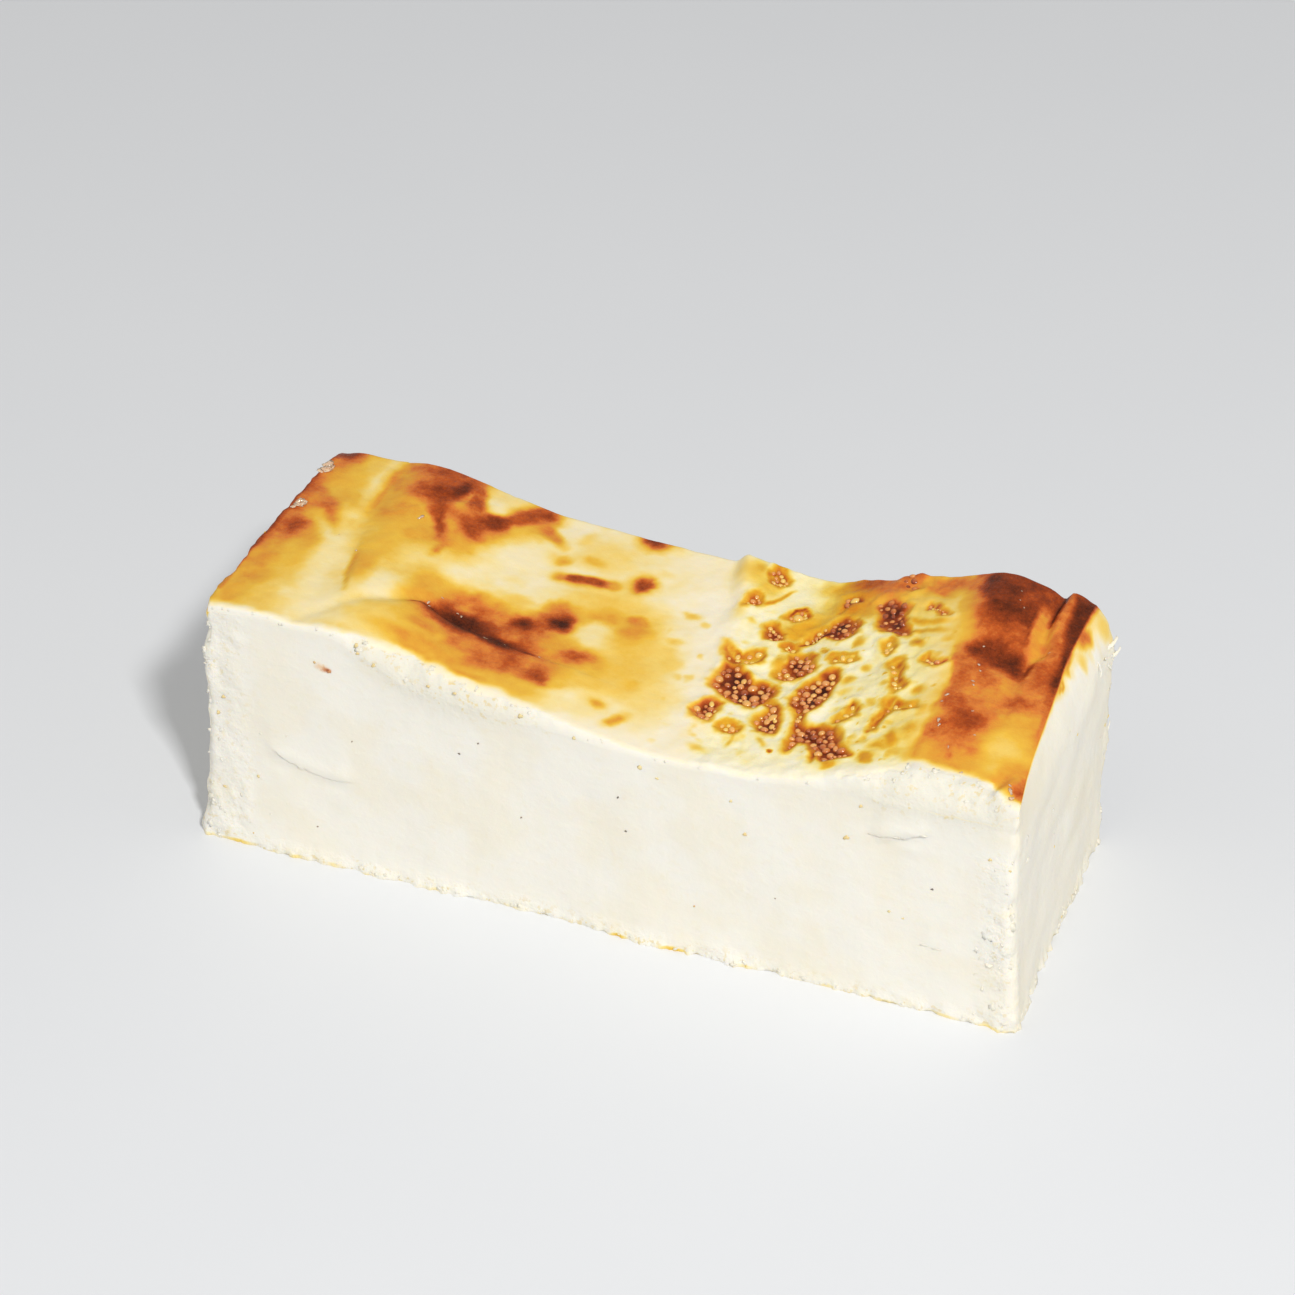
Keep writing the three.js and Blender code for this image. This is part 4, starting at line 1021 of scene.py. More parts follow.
# crusts on the right end: y and depth of the middle, half of each, and level
SHOULDER_SPOTS = [
    (23, 0.4, 3.6, 2.8, 0.64), (14.6, 0.1, 5, 1.3, 0.60), (31.5, 3.4, 3.4, 5, 0.30),
    (18, 3.0, 2.4, 2.4, 0.30), (6, 0.4, 4, 0.6, 0.52),
]
# on the right end and on the left one: browning of the whole face, and how much more its shoulder has
END_LEVEL = (0.075, 0.08)
SHOULDER_TAN = (0.17, 0.28)
FOOT_SKIN_HEIGHT = 1.0
FOOT_SPOTS = [
    (-92, 1.8, 0.20), (-85, 3.4, 0.28), (-77, 1.6, 0.18), (-71, 2.2, 0.21), (-62, 2.0, 0.17),
    (-54, 1.6, 0.18), (-38, 2.4, 0.16), (-20, 2.0, 0.17), (5, 1.8, 0.38), (17.7, 3.0, 0.36), (34, 2.0, 0.17),
    (52, 3.0, 0.17), (66, 3.4, 0.21), (78, 3.6, 0.18), (88, 3.0, 0.23),
]

x, y, z = shape.T
rim_tone = np.zeros(count)
walls = ~on_top
rim_tone[walls] = browning(top_x[walls], top_y[walls])
streaks = cloud(shape * (1, 1, 0.25), 2.0, 67)
right_reach = along(RIGHT_SHOULDER_BROWN, y) * (1 + 0.35 * cloud(shape, 3, 61) + 0.4 * streaks)
left_reach = along(LEFT_SHOULDER_BROWN, y) * (1 + 0.35 * cloud(shape, 4, 62))
reach = np.where(x > 0, right_reach, left_reach)
tanned = np.where(x > 0, *SHOULDER_TAN)
shoulder_tone = np.where(x > 0, *END_LEVEL) + 0.012 * cloud(shape, 9, 66)
shoulder_tone += tanned * (1 - ease(depth, 0.1 * reach, reach))
shoulder_tone = np.maximum(shoulder_tone, rim_tone * np.exp(-depth / (0.10 * reach + 0.25)))
cut_tone = 0.5 * rim_tone * np.exp(-depth / 0.35)
on_ends = on_left | on_right
bake[walls] = np.where(on_ends, shoulder_tone, cut_tone)[walls]
foot_tone = 0.06 + 0.06 * np.clip(cloud(shape, 7, 63) + 0.6 * cloud(shape, 2.2, 64), 0, 1)
for spot, half, over in FOOT_SPOTS:
    foot_tone = cover(foot_tone, over, np.exp(-(((x - spot) / half) ** 2)) * (y < 0))
for at, at_depth, half, half_depth, over in SHOULDER_SPOTS:
    moved_y, moved_depth = y + 1.2 * cloud(shape, 2.6, 68), depth + 1.2 * cloud(shape, 2.2, 69)
    away = np.hypot((moved_y - at) / half, (moved_depth - at_depth) / half_depth)
    bake = np.where(on_right & walls, np.maximum(bake, over * (1 - ease(away, 0.1, 1.8))), bake)
in_foot = 1 - ease(z + 0.5 * cloud(shape, 2.5, 65), 0.4 * FOOT_SKIN_HEIGHT, FOOT_SKIN_HEIGHT)
bake = np.where(walls, np.maximum(bake, foot_tone * in_foot), bake)

cut = np.where(walls, 1.0, torn)
cut = np.where(walls & on_ends, ease(depth, 0.2 * reach, reach), cut)


def store(mesh, name, values):
    """Keeps a number for each vertex of a mesh, or the same one for all, for its material to read."""
    layer = mesh.attributes.new(name, "FLOAT", "POINT")
    values = np.broadcast_to(np.asarray(values, np.float32), len(mesh.vertices))
    layer.data.foreach_set("value", np.ascontiguousarray(values))


store(bar.data, "bake", bake)
olive = blistered_share(top_x, top_y) * (1 - ease(top_y, 18, 27) * ease(top_x, 36, 42))
store(bar.data, "blister", np.where(on_top, olive, 0))
store(bar.data, "cut", cut)
setback = strip_share(x, LEAST_STRIP_SHOWN)
under_strip = np.where(on_front, UNDER_STRIP_SHARE * setback * np.exp(-depth / UNDER_STRIP_REACH), 0)
wall_crumble = np.maximum(np.maximum(crumble, CRUMBLE_EVERYWHERE), UNDER_STRIP_CRUMBLE * under_strip)
strip_crumble = np.maximum(STRIP_CRUMBLE * setback * torn, CRUMBLE_EVERYWHERE)
store(bar.data, "crumble", np.where(walls, wall_crumble, strip_crumble))
# torn_here marks the torn strip and the cream just under it, which the finish paints a duller cream: painted
# shade, since the strip faces the key lamp
torn_here = np.where(walls, under_strip / UNDER_STRIP_SHARE, torn * setback)
left_scraps = ease(x, -68, -60) * (1 - ease(x, -14, -6))
right_scraps = ease(x, 58, 64)
near_foot = np.exp(-z / FOOT_SKIN_HEIGHT)
beside_skin = np.where(walls, np.exp(-depth / 2), 1 - 0.7 * torn_share(x, y)) * torn_here
scraps = beside_skin * np.maximum(left_scraps, right_scraps)
scraps = np.maximum(scraps, np.where(on_front, 0.5 * crumble, 0) + 0.6 * near_foot * walls)
store(bar.data, "torn", torn_here)
store(bar.data, "scraps", np.clip(scraps, 0, 1))
bpy.ops.object.select_all(action="DESELECT")
bar.select_set(True)
bpy.context.view_layer.objects.active = bar
bpy.ops.object.shade_smooth_by_angle(angle=math.radians(88))
print("browning stored on", bar.name)

# %% [markdown]
# ## Writing materials as sums
# A material in Blender is a graph of nodes. Small graphs are clear, large ones are not, so here the
# arithmetic is written as Python and a small class turns it into nodes. The rest of the nodes come
# from one method that takes a type, its settings, and what goes into its sockets.

# %% A class for shader maths


class Flow:
    """A value that flows from one node to another in a finish."""

    def __init__(self, finish, socket):
        self.finish = finish
        self.socket = socket

    def _maths(self, operation, first, second):
        return self.finish.node("ShaderNodeMath", {"operation": operation}, {0: first, 1: second})

    def __add__(self, other):
        return self._maths("ADD", self, other)

    def __radd__(self, other):
        return self._maths("ADD", other, self)

    def __sub__(self, other):
        return self._maths("SUBTRACT", self, other)

    def __rsub__(self, other):
        return self._maths("SUBTRACT", other, self)

    def __mul__(self, other):
        return self._maths("MULTIPLY", self, other)

    def __rmul__(self, other):
        return self._maths("MULTIPLY", other, self)


class Finish:
    """A procedural material with one Principled shader."""

    def __init__(self, name, constants):
        self.material = bpy.data.materials.new(name)
        self.material.use_nodes = True
        self.tree = self.material.node_tree
        self.shader = self.tree.nodes["Principled BSDF"]
        for socket, value in constants.items():
            self.shader.inputs[socket].default_value = value

    def drive(self, socket, value):
        """Feeds a socket of the shader."""
        self.feed(self.shader.inputs[socket], value)

    def dress(self, thing):
        """Makes this the only finish of a thing."""
        thing.data.materials.clear()
        thing.data.materials.append(self.material)

    def node(self, kind, settings=None, inputs=None, out=0):
        """Adds a node, sets it, feeds its sockets, and gives what flows out of it."""
        made = self.tree.nodes.new(kind)
        for key, value in (settings or {}).items():
            if key == "stops":
                self._set_stops(made.color_ramp, value)
            else:
                setattr(made, key, value)
        for key, value in (inputs or {}).items():
            self.feed(made.inputs[key], value)
        return Flow(self, made.outputs[out])

    def _set_stops(self, ramp, stops):
        for _ in range(len(stops) - 2):
            ramp.elements.new(0.5)
        for element, (place, colour) in zip(ramp.elements, stops):
            element.position = place
            element.color = colour

    def feed(self, socket, value):
        """Links a flow to a socket, or sets the socket's own value."""
        if isinstance(value, Flow):
            self.tree.links.new(value.socket, socket)
        else:
            socket.default_value = value

    def noise(self, size, detail=2.0, roughness=0.5, stretch=(1, 1, 1)):
        """Noise on Object coordinates, whose features are about size across in metres."""
        place = self.node("ShaderNodeTexCoord", out="Object")
        if stretch != (1, 1, 1):
            place = self.node("ShaderNodeMapping", inputs={"Vector": place, "Scale": stretch})
        inputs = {"Vector": place, "Scale": 1 / size, "Detail": detail, "Roughness": roughness}
        return self.node("ShaderNodeTexNoise", {"noise_dimensions": "3D"}, inputs)

    def lumps(self, size):
        """Rounded lumps with creases between them, from noise folded at its middle."""
        from_middle = self.noise(size, 3.0, 0.55) - 0.5
        folded = self.node("ShaderNodeMath", {"operation": "ABSOLUTE"}, {0: from_middle})
        return folded * 2.0 - 0.2

    def stored(self, name):
        """A number stored on the mesh's vertices."""
        return self.node("ShaderNodeAttribute", {"attribute_name": name}, out="Fac")

    def between(self, value, start, end):
        """0 where value is under start, 1 where it is over end."""
        inputs = {"Value": value, "From Min": start, "From Max": end}
        return self.node("ShaderNodeMapRange", {"interpolation_type": "SMOOTHSTEP"}, inputs)

    def mix(self, share, under, over):
        """A colour laid over another."""
        return self.node("ShaderNodeMix", {"data_type": "RGBA"}, {0: share, 6: under, 7: over}, out=2)

    def tones(self, value, stops):
        """A colour ramp."""
        return self.node("ShaderNodeValToRGB", {"stops": stops}, {"Fac": value})


def tone(red, green, blue, light=1.0):
    """A colour as it shows on a screen, 0 to 255, as the linear colour that a shader takes."""
    shares = [c / 255 for c in (red, green, blue)]
    linear = [c / 12.92 if c <= 0.04 else ((c + 0.055) / 1.055) ** 2.4 for c in shares]
    return (*[c * light for c in linear], 1.0)


def stops(colours, light=1.0):
    """Stops of a colour ramp, from places and colours as they show on a screen."""
    return [(place, tone(*colour, light)) for place, colour in colours]


# %% [markdown]
# ## The cream and its skin
# One material finishes the whole bar, because cut, skin and crust run into each other. The stored
# browning picks a tone from a ramp that runs as a real crust does: cream, straw, gold, amber,
# rust and dark brown. Fine noise shifts the browning, raw cream gets faint warm and cool areas, and
# a little light passes through, as it does in fresh cheese. Skin is smoother than cut cream.

# %% Finish of the bar
LIGHT_GAIN = 0.95
CRUST_TONES = stops([
    (0.00, (248, 240, 220)), (0.08, (248, 236, 203)), (0.18, (248, 228, 166)), (0.28, (246, 212, 114)),
    (0.38, (239, 191, 70)), (0.48, (230, 165, 58)), (0.58, (223, 129, 56)), (0.68, (194, 90, 34)),
    (0.79, (150, 62, 22)), (0.90, (104, 42, 16)), (1.00, (62, 24, 11)),
], LIGHT_GAIN)

BLISTER_TONES = stops([
    (0.00, (248, 243, 228)), (0.08, (250, 241, 200)), (0.18, (248, 231, 158)), (0.28, (241, 207, 92)),
    (0.38, (229, 174, 45)), (0.48, (217, 140, 33)), (0.60, (196, 103, 31)), (0.72, (162, 69, 21)),
    (0.84, (118, 46, 20)), (1.00, (62, 22, 12)),
], LIGHT_GAIN)

COOL_CREAM = tone(245, 242, 232, LIGHT_GAIN)
WARM_CREAM = tone(244, 239, 224, LIGHT_GAIN)
YELLOWED_CREAM = tone(240, 228, 186, LIGHT_GAIN)
# painted shade: the torn strip faces the key lamp, so it and the cream under it are painted this duller cream
TORN_CREAM_WITH_PAINTED_SHADE = tone(232, 229, 216, LIGHT_GAIN)
SCRAP_OF_SKIN = tone(230, 206, 138, LIGHT_GAIN)
# browning from which and to which the crust turns rusty, and then scorched
BROWNED_SPAN, SCORCHED_SPAN = (0.42, 0.72), (0.70, 0.95)

# a soft brown fleck of fallen crust in the front cut: middle and half axes in millimetres, from which
# share of the way out to which it fades, and its colour
FLECKS = [
    ((-63.2, -34.6, 51.9), (1.9, 4, 1.2), 0.2, 1.2, (238, 204, 166)),
    ((-62.3, -34.6, 51.5), (1.2, 4, 0.9), 0.2, 1.3, (208, 142, 100)),
    ((-61.9, -34.6, 51.4), (0.6, 4, 0.5), 0.2, 1.3, (180, 104, 66)),
]

# the crisp edges of two tears in the front cut: the ellipse that each runs along, and the stretch of it
# that is torn, both as middle and half axes in millimetres
TEAR_EDGES = [
    ((-62, -34.6, 34), (18, 900, 11.6), (-67.5, -34.6, 24.6), (13, 4, 5)),
    ((60, -34.6, 56), (19, 900, 13.4), (66, -34.6, 44), (7.5, 4, 4)),
]
TEAR_EDGE_STEP = 0.22

cream = Finish("baked_cream_finish", {
    "Subsurface Weight": 0.2,
    "Subsurface Radius": (1.0, 0.75, 0.45),
    "Subsurface Scale": 1.8 * MM,
    "IOR": 1.4,
    "Specular IOR Level": 0.15,
    "Coat Roughness": 0.2,
})


def away_from(at, half):
    """Distance from an ellipsoid's middle at each point of the bar, where 1 is its surface."""
    place = cream.node("ShaderNodeTexCoord", out="Object")
    place = cream.node("ShaderNodeVectorMath", {"operation": "SUBTRACT"}, {0: place, 1: [c * MM for c in at]})
    place = cream.node("ShaderNodeVectorMath", {"operation": "DIVIDE"}, {0: place, 1: [c * MM for c in half]})
    return cream.node("ShaderNodeVectorMath", {"operation": "LENGTH"}, {0: place}, out="Value")


bake_here = cream.stored("bake")
cut_here = cream.stored("cut")
crumble_here = cream.stored("crumble")
skin_here = 1 - cut_here
browned = cream.between(bake_here, *BROWNED_SPAN)
scorched = cream.between(bake_here, *SCORCHED_SPAN)
fine = cream.noise(0.9 * MM, 3.0, 0.6)
speckle = cream.noise(0.35 * MM, 2.0, 0.6)
broad = cream.noise(4.5 * MM, 3.0, 0.55)
shifted_bake = bake_here + (fine - 0.5) * (0.05 + 0.14 * browned) * cream.between(bake_here, 0.1, 0.5)
shifted_bake = shifted_bake + (speckle - 0.5) * (0.05 * browned + 0.14 * scorched)
shifted_bake = shifted_bake + (broad - 0.5) * 0.12 * skin_here
crust = cream.tones(shifted_bake, CRUST_TONES)
crust = cream.mix(cream.stored("blister"), crust, cream.tones(shifted_bake, BLISTER_TONES))
warmth = cream.between(cream.noise(17 * MM, 2.0), 0.42, 0.62)
raw = cream.mix(warmth, COOL_CREAM, WARM_CREAM)
yellowing = cream.between(cream.noise(2.6 * MM, 4.0, 0.65), 0.54, 0.74) * (0.10 + crumble_here * 0.6)
raw = cream.mix(yellowing, raw, YELLOWED_CREAM)
# painted shade: the torn strip and the cream under it turn a duller cream
raw = cream.mix(cream.stored("torn") * 0.9, raw, TORN_CREAM_WITH_PAINTED_SHADE)
scrap = cream.between(cream.noise(1.5 * MM, 3.0, 0.6), 0.56, 0.66) * cream.stored("scraps")
raw = cream.mix(scrap, raw, SCRAP_OF_SKIN)
fleck_noise = (cream.noise(1.4 * MM, 3.0, 0.6) - 0.5) * 1.4
for at, half, level_at, level_far, colour in FLECKS:
    fleck = 1 - cream.between(away_from(at, half) + fleck_noise, level_at, level_far)
    raw = cream.mix(fleck, raw, tone(*colour, LIGHT_GAIN))
rawness = cut_here * (1 - cream.between(bake_here, 0.03, 0.2))
cream.drive("Base Color", cream.mix(rawness, crust, raw))
skin_roughness = 0.44 - 0.06 * browned
cream.drive("Roughness", skin_roughness + 0.18 * cut_here)
coat = skin_here * (0.03 + 0.03 * browned + 0.07 * cream.stored("blister"))
cream.drive("Coat Weight", coat)

# %% Bump of the bar: leathery skin, grainy cuts
grain = cream.noise(0.5 * MM, 3.0, 0.6) - 0.5
leather = cream.noise(1.5 * MM, 4.0, 0.62) - 0.5
wrinkle = cream.noise(2.2 * MM, 3.0, 0.6, (1.0, 0.35, 1.0)) - 0.5
crumb = cream.noise(2.6 * MM, 2.0, 0.5) * 1.6 + cream.lumps(1.6 * MM) * 0.5
plaster = cream.noise(3.5 * MM, 4.0, 0.62, (0.6, 0.45, 1.0)) - 0.5
drag = cream.noise(1.6 * MM, 3.0, 0.6, (0.2, 0.4, 1.0)) - 0.5
skin_relief = leather * (0.06 + 0.34 * browned + 0.14 * cream.stored("blister")) + wrinkle * 0.42 * browned
skin_relief = skin_relief + grain * (0.05 + 0.12 * browned)
cut_relief = crumb * (0.01 + 0.45 * crumble_here) + grain * 0.02
cut_relief = cut_relief + plaster * (0.10 + 0.3 * crumble_here) + drag * 0.05
wobble = (cream.noise(2.4 * MM, 4.0, 0.65) - 0.5) * 0.2
for arc, arc_half, stretch, stretch_half in TEAR_EDGES:
    out = away_from(arc, arc_half) + wobble
    lip = cream.between(out, 0.6, 0.95) * (1 - cream.between(out, 0.96, 1.02))
    shown = 1 - cream.between(away_from(stretch, stretch_half), 0.6, 1.0)
    cut_relief = cut_relief + lip * shown * TEAR_EDGE_STEP
cream_bump = cream.node("ShaderNodeBump", None, {
    "Strength": 1.0, "Distance": 1 * MM, "Height": skin_relief * skin_here + cut_relief * cut_here,
}, out="Normal")
cream.drive("Normal", cream_bump)
cream.dress(bar)
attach(bar, "root")
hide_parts("cheesecake")
print("material:", cream.material.name, "with", len(cream.tree.nodes), "nodes")

# %% [markdown]
# ## Burnt bubbles
# Each cluster holds from two to about thirty bubbles of hardened caramel, one or two millimetres wide.
# One is modelled: a small sphere, cut below its middle, pressed flatter, its open side closed. It is
# copied with its own mesh to places inside the outlines, larger ones first, and all copies are joined.

# %% Model one bubble
BUBBLE_CUT, BUBBLE_FLATNESS, BUBBLE_UNEVENNESS = -0.45, 0.82, 0.09
bpy.ops.mesh.primitive_ico_sphere_add(subdivisions=2, radius=1.0, location=(0, 0, 0))
bubble = bpy.context.object
bubble.name = "bubble"
bpy.ops.object.mode_set(mode="EDIT")
bpy.ops.mesh.select_all(action="SELECT")
bpy.ops.mesh.bisect(plane_co=(0, 0, BUBBLE_CUT), plane_no=(0, 0, 1), clear_inner=True, use_fill=True)
bpy.ops.mesh.select_all(action="SELECT")
bpy.ops.transform.resize(value=(1, 1, BUBBLE_FLATNESS))
bpy.ops.transform.vertex_random(offset=BUBBLE_UNEVENNESS, seed=4)
bpy.ops.mesh.normals_make_consistent(inside=False)
bpy.ops.object.mode_set(mode="OBJECT")
bpy.ops.object.shade_smooth()
print("one bubble:", len(bubble.data.polygons), "faces")

# %% Find a place for each bubble
BUBBLE_RADII = (0.34, 1.0)
PALE_CLUSTER_LEVEL, PALE_CLUSTER_SIZE = 0.7, 0.72
LARGE_BUBBLES = {
    "long_middle": [(25.2, -8.9, 1.15)], "front_edge": [(42.6, -20.2, 0.95), (45.6, -23.4, 1.0)],
    "small_front": [(31.0, -18.6, 0.85)], "centre": [(30.2, 6.0, 0.8)], "upper_small": [(24.6, 19.9, 1.2)],
    "large_back": [(46.4, 16.8, 0.85), (47.2, 22.4, 0.9)], "middle_dash": [(41.3, 5.9, 0.75)],
}
BUBBLE_TRIES = 50
# how far a bubble stays from its cluster's edge: a share of its radius, and millimetres
BUBBLE_INSET, BUBBLE_MARGIN = 0.45, 0.25
# distance of two bubbles against the sum of their radii, and how many more there are than wanted
BUBBLE_SPACING, BUBBLE_SHARE = 0.88, 1.1
bubble_rng = np.random.default_rng(7)


def bubble_places():
    """Middle, radius and browning of every bubble, close to its neighbours but not inside them."""
    placed = []
    for name, (middle, wanted, corners) in CLUSTERS.items():
        here = [(x, y, radius, middle) for x, y, radius in LARGE_BUBBLES.get(name, [])]
        low, high = np.min(corners, 0), np.max(corners, 0)
        tries = wanted * BUBBLE_TRIES
        for attempt in range(tries):
            if len(here) >= BUBBLE_SHARE * wanted:
                break
            radius = blend(BUBBLE_RADII[1], BUBBLE_RADII[0], (attempt / tries) ** 0.5)
            cluster_size = 1 if middle > PALE_CLUSTER_LEVEL else PALE_CLUSTER_SIZE
            radius *= bubble_rng.uniform(0.85, 1.15) * cluster_size
            x, y = bubble_rng.uniform(low, high)
            inside = in_outline(corners, np.array([x]), np.array([y]))[0]
            gaps = [math.hypot(x - a, y - b) - BUBBLE_SPACING * (radius + r) for a, b, r, _ in placed + here]
            if inside > BUBBLE_INSET * radius + BUBBLE_MARGIN and all(gap > 0 for gap in gaps):
                here.append((x, y, radius, middle))
        placed += here
    return placed


bubbles = bubble_places()
print(len(bubbles), "bubbles placed")

# %% Copy the bubble to its places and join the copies


def top_normal(x, y):
    """Direction straight out of the top at a place in plan."""
    step = 0.6
    xs = np.array([x - step, x + step, x, x])
    ys = np.array([y, y, y - step, y + step])
    left, right, front, back = top_height(xs, ys)
    return Vector(((left - right) / (2 * step), (front - back) / (2 * step), 1)).normalized()


def copy_to(pattern, place, sizes, normal, spin):
    """A copy of a pattern with its own mesh, moved, sized and turned in its mesh."""
    made = bpy.data.objects.new(pattern.name + "_copy", pattern.data.copy())
    bpy.context.collection.objects.link(made)
    turn = normal.to_track_quat("Z", "Y").to_matrix().to_4x4() @ Matrix.Rotation(spin, 4, "Z")
    made.data.transform(Matrix.Translation(place) @ turn @ Matrix.Diagonal((*sizes, 1)))
    return made


def join(parts, name):
    """Joins parts into one piece."""
    bpy.ops.object.select_all(action="DESELECT")
    for part in parts:
        part.select_set(True)
    bpy.context.view_layer.objects.active = parts[0]
    bpy.ops.object.join()
    parts[0].name = name
    parts[0].data.name = name
    return parts[0]


BUBBLE_SINK = (-0.34, -0.04)
COLLAPSED_BURN, COLLAPSED_SINK = 0.9, 0.3
BURN_CHANGE = (-0.3, 0.2)
parts = []
heights = top_height(np.array([b[0] for b in bubbles]), np.array([b[1] for b in bubbles]))
for (x, y, radius, middle), height in zip(bubbles, heights):
    sink = bubble_rng.uniform(*BUBBLE_SINK) - COLLAPSED_SINK * (middle > COLLAPSED_BURN)
    lowered = height + sink * radius
    place = Vector((x, y, lowered)) * MM
    sizes = radius * MM * bubble_rng.uniform((0.85, 0.85, 0.8), (1.3, 1.05, 1.0))
    part = copy_to(bubble, place, sizes, top_normal(x, y), bubble_rng.uniform(0, 2 * math.pi))
    # the height on each bubble, stored as lift, later paints its crown paler as a highlight and its foot
    # darker as shade
    shine = np.array([v.co.z for v in part.data.vertices]) / MM - lowered
    store(part.data, "lift", np.clip(shine / (0.8 * radius), -1, 1))
    store(part.data, "burn", middle + bubble_rng.uniform(*BURN_CHANGE))
    parts.append(part)
burnt_bubbles = join(parts, "burnt_bubbles")
bpy.data.objects.remove(bubble)
print("joined:", len(burnt_bubbles.data.polygons), "faces")

# %% Finish of the bubbles
caramel = Finish("caramel_bubble_finish", {
    "Roughness": 0.24,
    "IOR": 1.45,
    "Coat Weight": 0.6,
    "Coat Roughness": 0.09,
    "Subsurface Weight": 0.1,
    "Subsurface Radius": (1.0, 0.5, 0.2),
    "Subsurface Scale": 0.5 * MM,
})
lift = caramel.stored("lift")
burn = caramel.stored("burn")
# level of a bubble whose tones run just from its foot to its crown, and how much a darker one shifts them
BURN_MIDDLE, BURN_EFFECT = 0.78, 1.3
# levels between which the pale tones give way to the dark ones
DARK_SPAN = (0.42, 0.70)
# from the foot of a bubble to its crown, on dark clusters and on pale ones: pale crown as painted highlight,
# dark foot as painted shade
DARK_BUBBLE_TONES = stops([
    (0.10, (96, 36, 12)), (0.42, (146, 62, 22)), (0.62, (184, 94, 40)), (0.82, (212, 132, 66)),
    (1.0, (228, 160, 92)),
])
PALE_BUBBLE_TONES = stops([
    (0.10, (168, 100, 26)), (0.42, (202, 138, 40)), (0.66, (218, 162, 54)), (0.86, (228, 180, 74)),
    (1.0, (238, 200, 104)),
])
# painted light: along lift_here the crown takes the pale end of the ramp, a painted highlight, and the foot
# the dark end, painted shade between the bubbles
lift_here = lift * 0.5 + 0.5 + (caramel.noise(0.5 * MM) - 0.5) * 0.25
lift_here = lift_here - (caramel.noise(3 * MM) - 0.5) * 0.3 - (burn - BURN_MIDDLE) * BURN_EFFECT
darkness = caramel.between(burn, *DARK_SPAN)
pale_bubble = caramel.tones(lift_here, PALE_BUBBLE_TONES)
dark_bubble = caramel.tones(lift_here, DARK_BUBBLE_TONES)
bubble_colour = caramel.mix(darkness, pale_bubble, dark_bubble)
caramel.drive("Base Color", bubble_colour)
caramel.dress(burnt_bubbles)
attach(burnt_bubbles, "root")

# %% [markdown]
# ## Crumbs
# Where the knife left the cream it pulled off small lumps. They sit half sunk along the torn strip,
# along the upright edges and round the foot. Three lumps are modelled, each a small sphere whose
# corners are pushed about at random, and copied with their own meshes, so no two rows look alike.

# %% Model three lumps
LUMP_SEEDS, LUMP_UNEVENNESS = (3, 8, 15), 0.4


def lump(name, seed):
    """A small sphere with its corners pushed about."""
    bpy.ops.object.select_all(action="DESELECT")
    bpy.ops.mesh.primitive_ico_sphere_add(subdivisions=2, radius=1.0, location=(0, 0, 0))
    made = bpy.context.object
    made.name = name
    bpy.ops.object.mode_set(mode="EDIT")
    bpy.ops.mesh.select_all(action="SELECT")
    bpy.ops.transform.vertex_random(offset=LUMP_UNEVENNESS, uniform=0.5, normal=0.5, seed=seed)
    bpy.ops.mesh.normals_make_consistent(inside=False)
    bpy.ops.object.mode_set(mode="OBJECT")
    bpy.ops.object.shade_smooth()
    return made


lumps = [lump("lump_%d" % i, seed) for i, seed in enumerate(LUMP_SEEDS)]
print("one lump:", len(lumps[0].data.polygons), "faces")

# %% Find the walls under a place
crumb_rng = np.random.default_rng(19)
FRONT = Vector((0, -1, 0))
BACK = Vector((0, 1, 0))
RIGHT = Vector((1, 0, 0))
LEFT = Vector((-1, 0, 0))
NEIGHBOURS = 4
# its vertices, the axis that runs along it, and the way out of it
WALLS = {
    "front": (on_front, 0, FRONT), "back": (on_back, 0, BACK),
    "left": (on_left, 1, LEFT), "right": (on_right, 1, RIGHT),
}
wall_points = {name: shape[mask] for name, (mask, _, _) in WALLS.items()}


def on_wall(name, across, z):
    """Place on a wall, by x (front and back) or y (ends) and height, and the way out of it."""
    _, axis, out = WALLS[name]
    points = wall_points[name]
    away = (points[:, axis] - across) ** 2 + (points[:, 2] - z) ** 2
    nearest = np.argsort(away)[:NEIGHBOURS]
    place = np.average(points[nearest], axis=0, weights=1 / (away[nearest] + 0.01))
    place[axis] = np.clip(across, *np.quantile(points[nearest, axis], (0, 1)))
    place[2] = max(z, 0.1)
    return Vector(place), out


def on_skin(x, y):
    """Place on the top, and the way out of it."""
    return Vector((x, y, float(top_height(np.array([x]), np.array([y]))[0]))), top_normal(x, y)


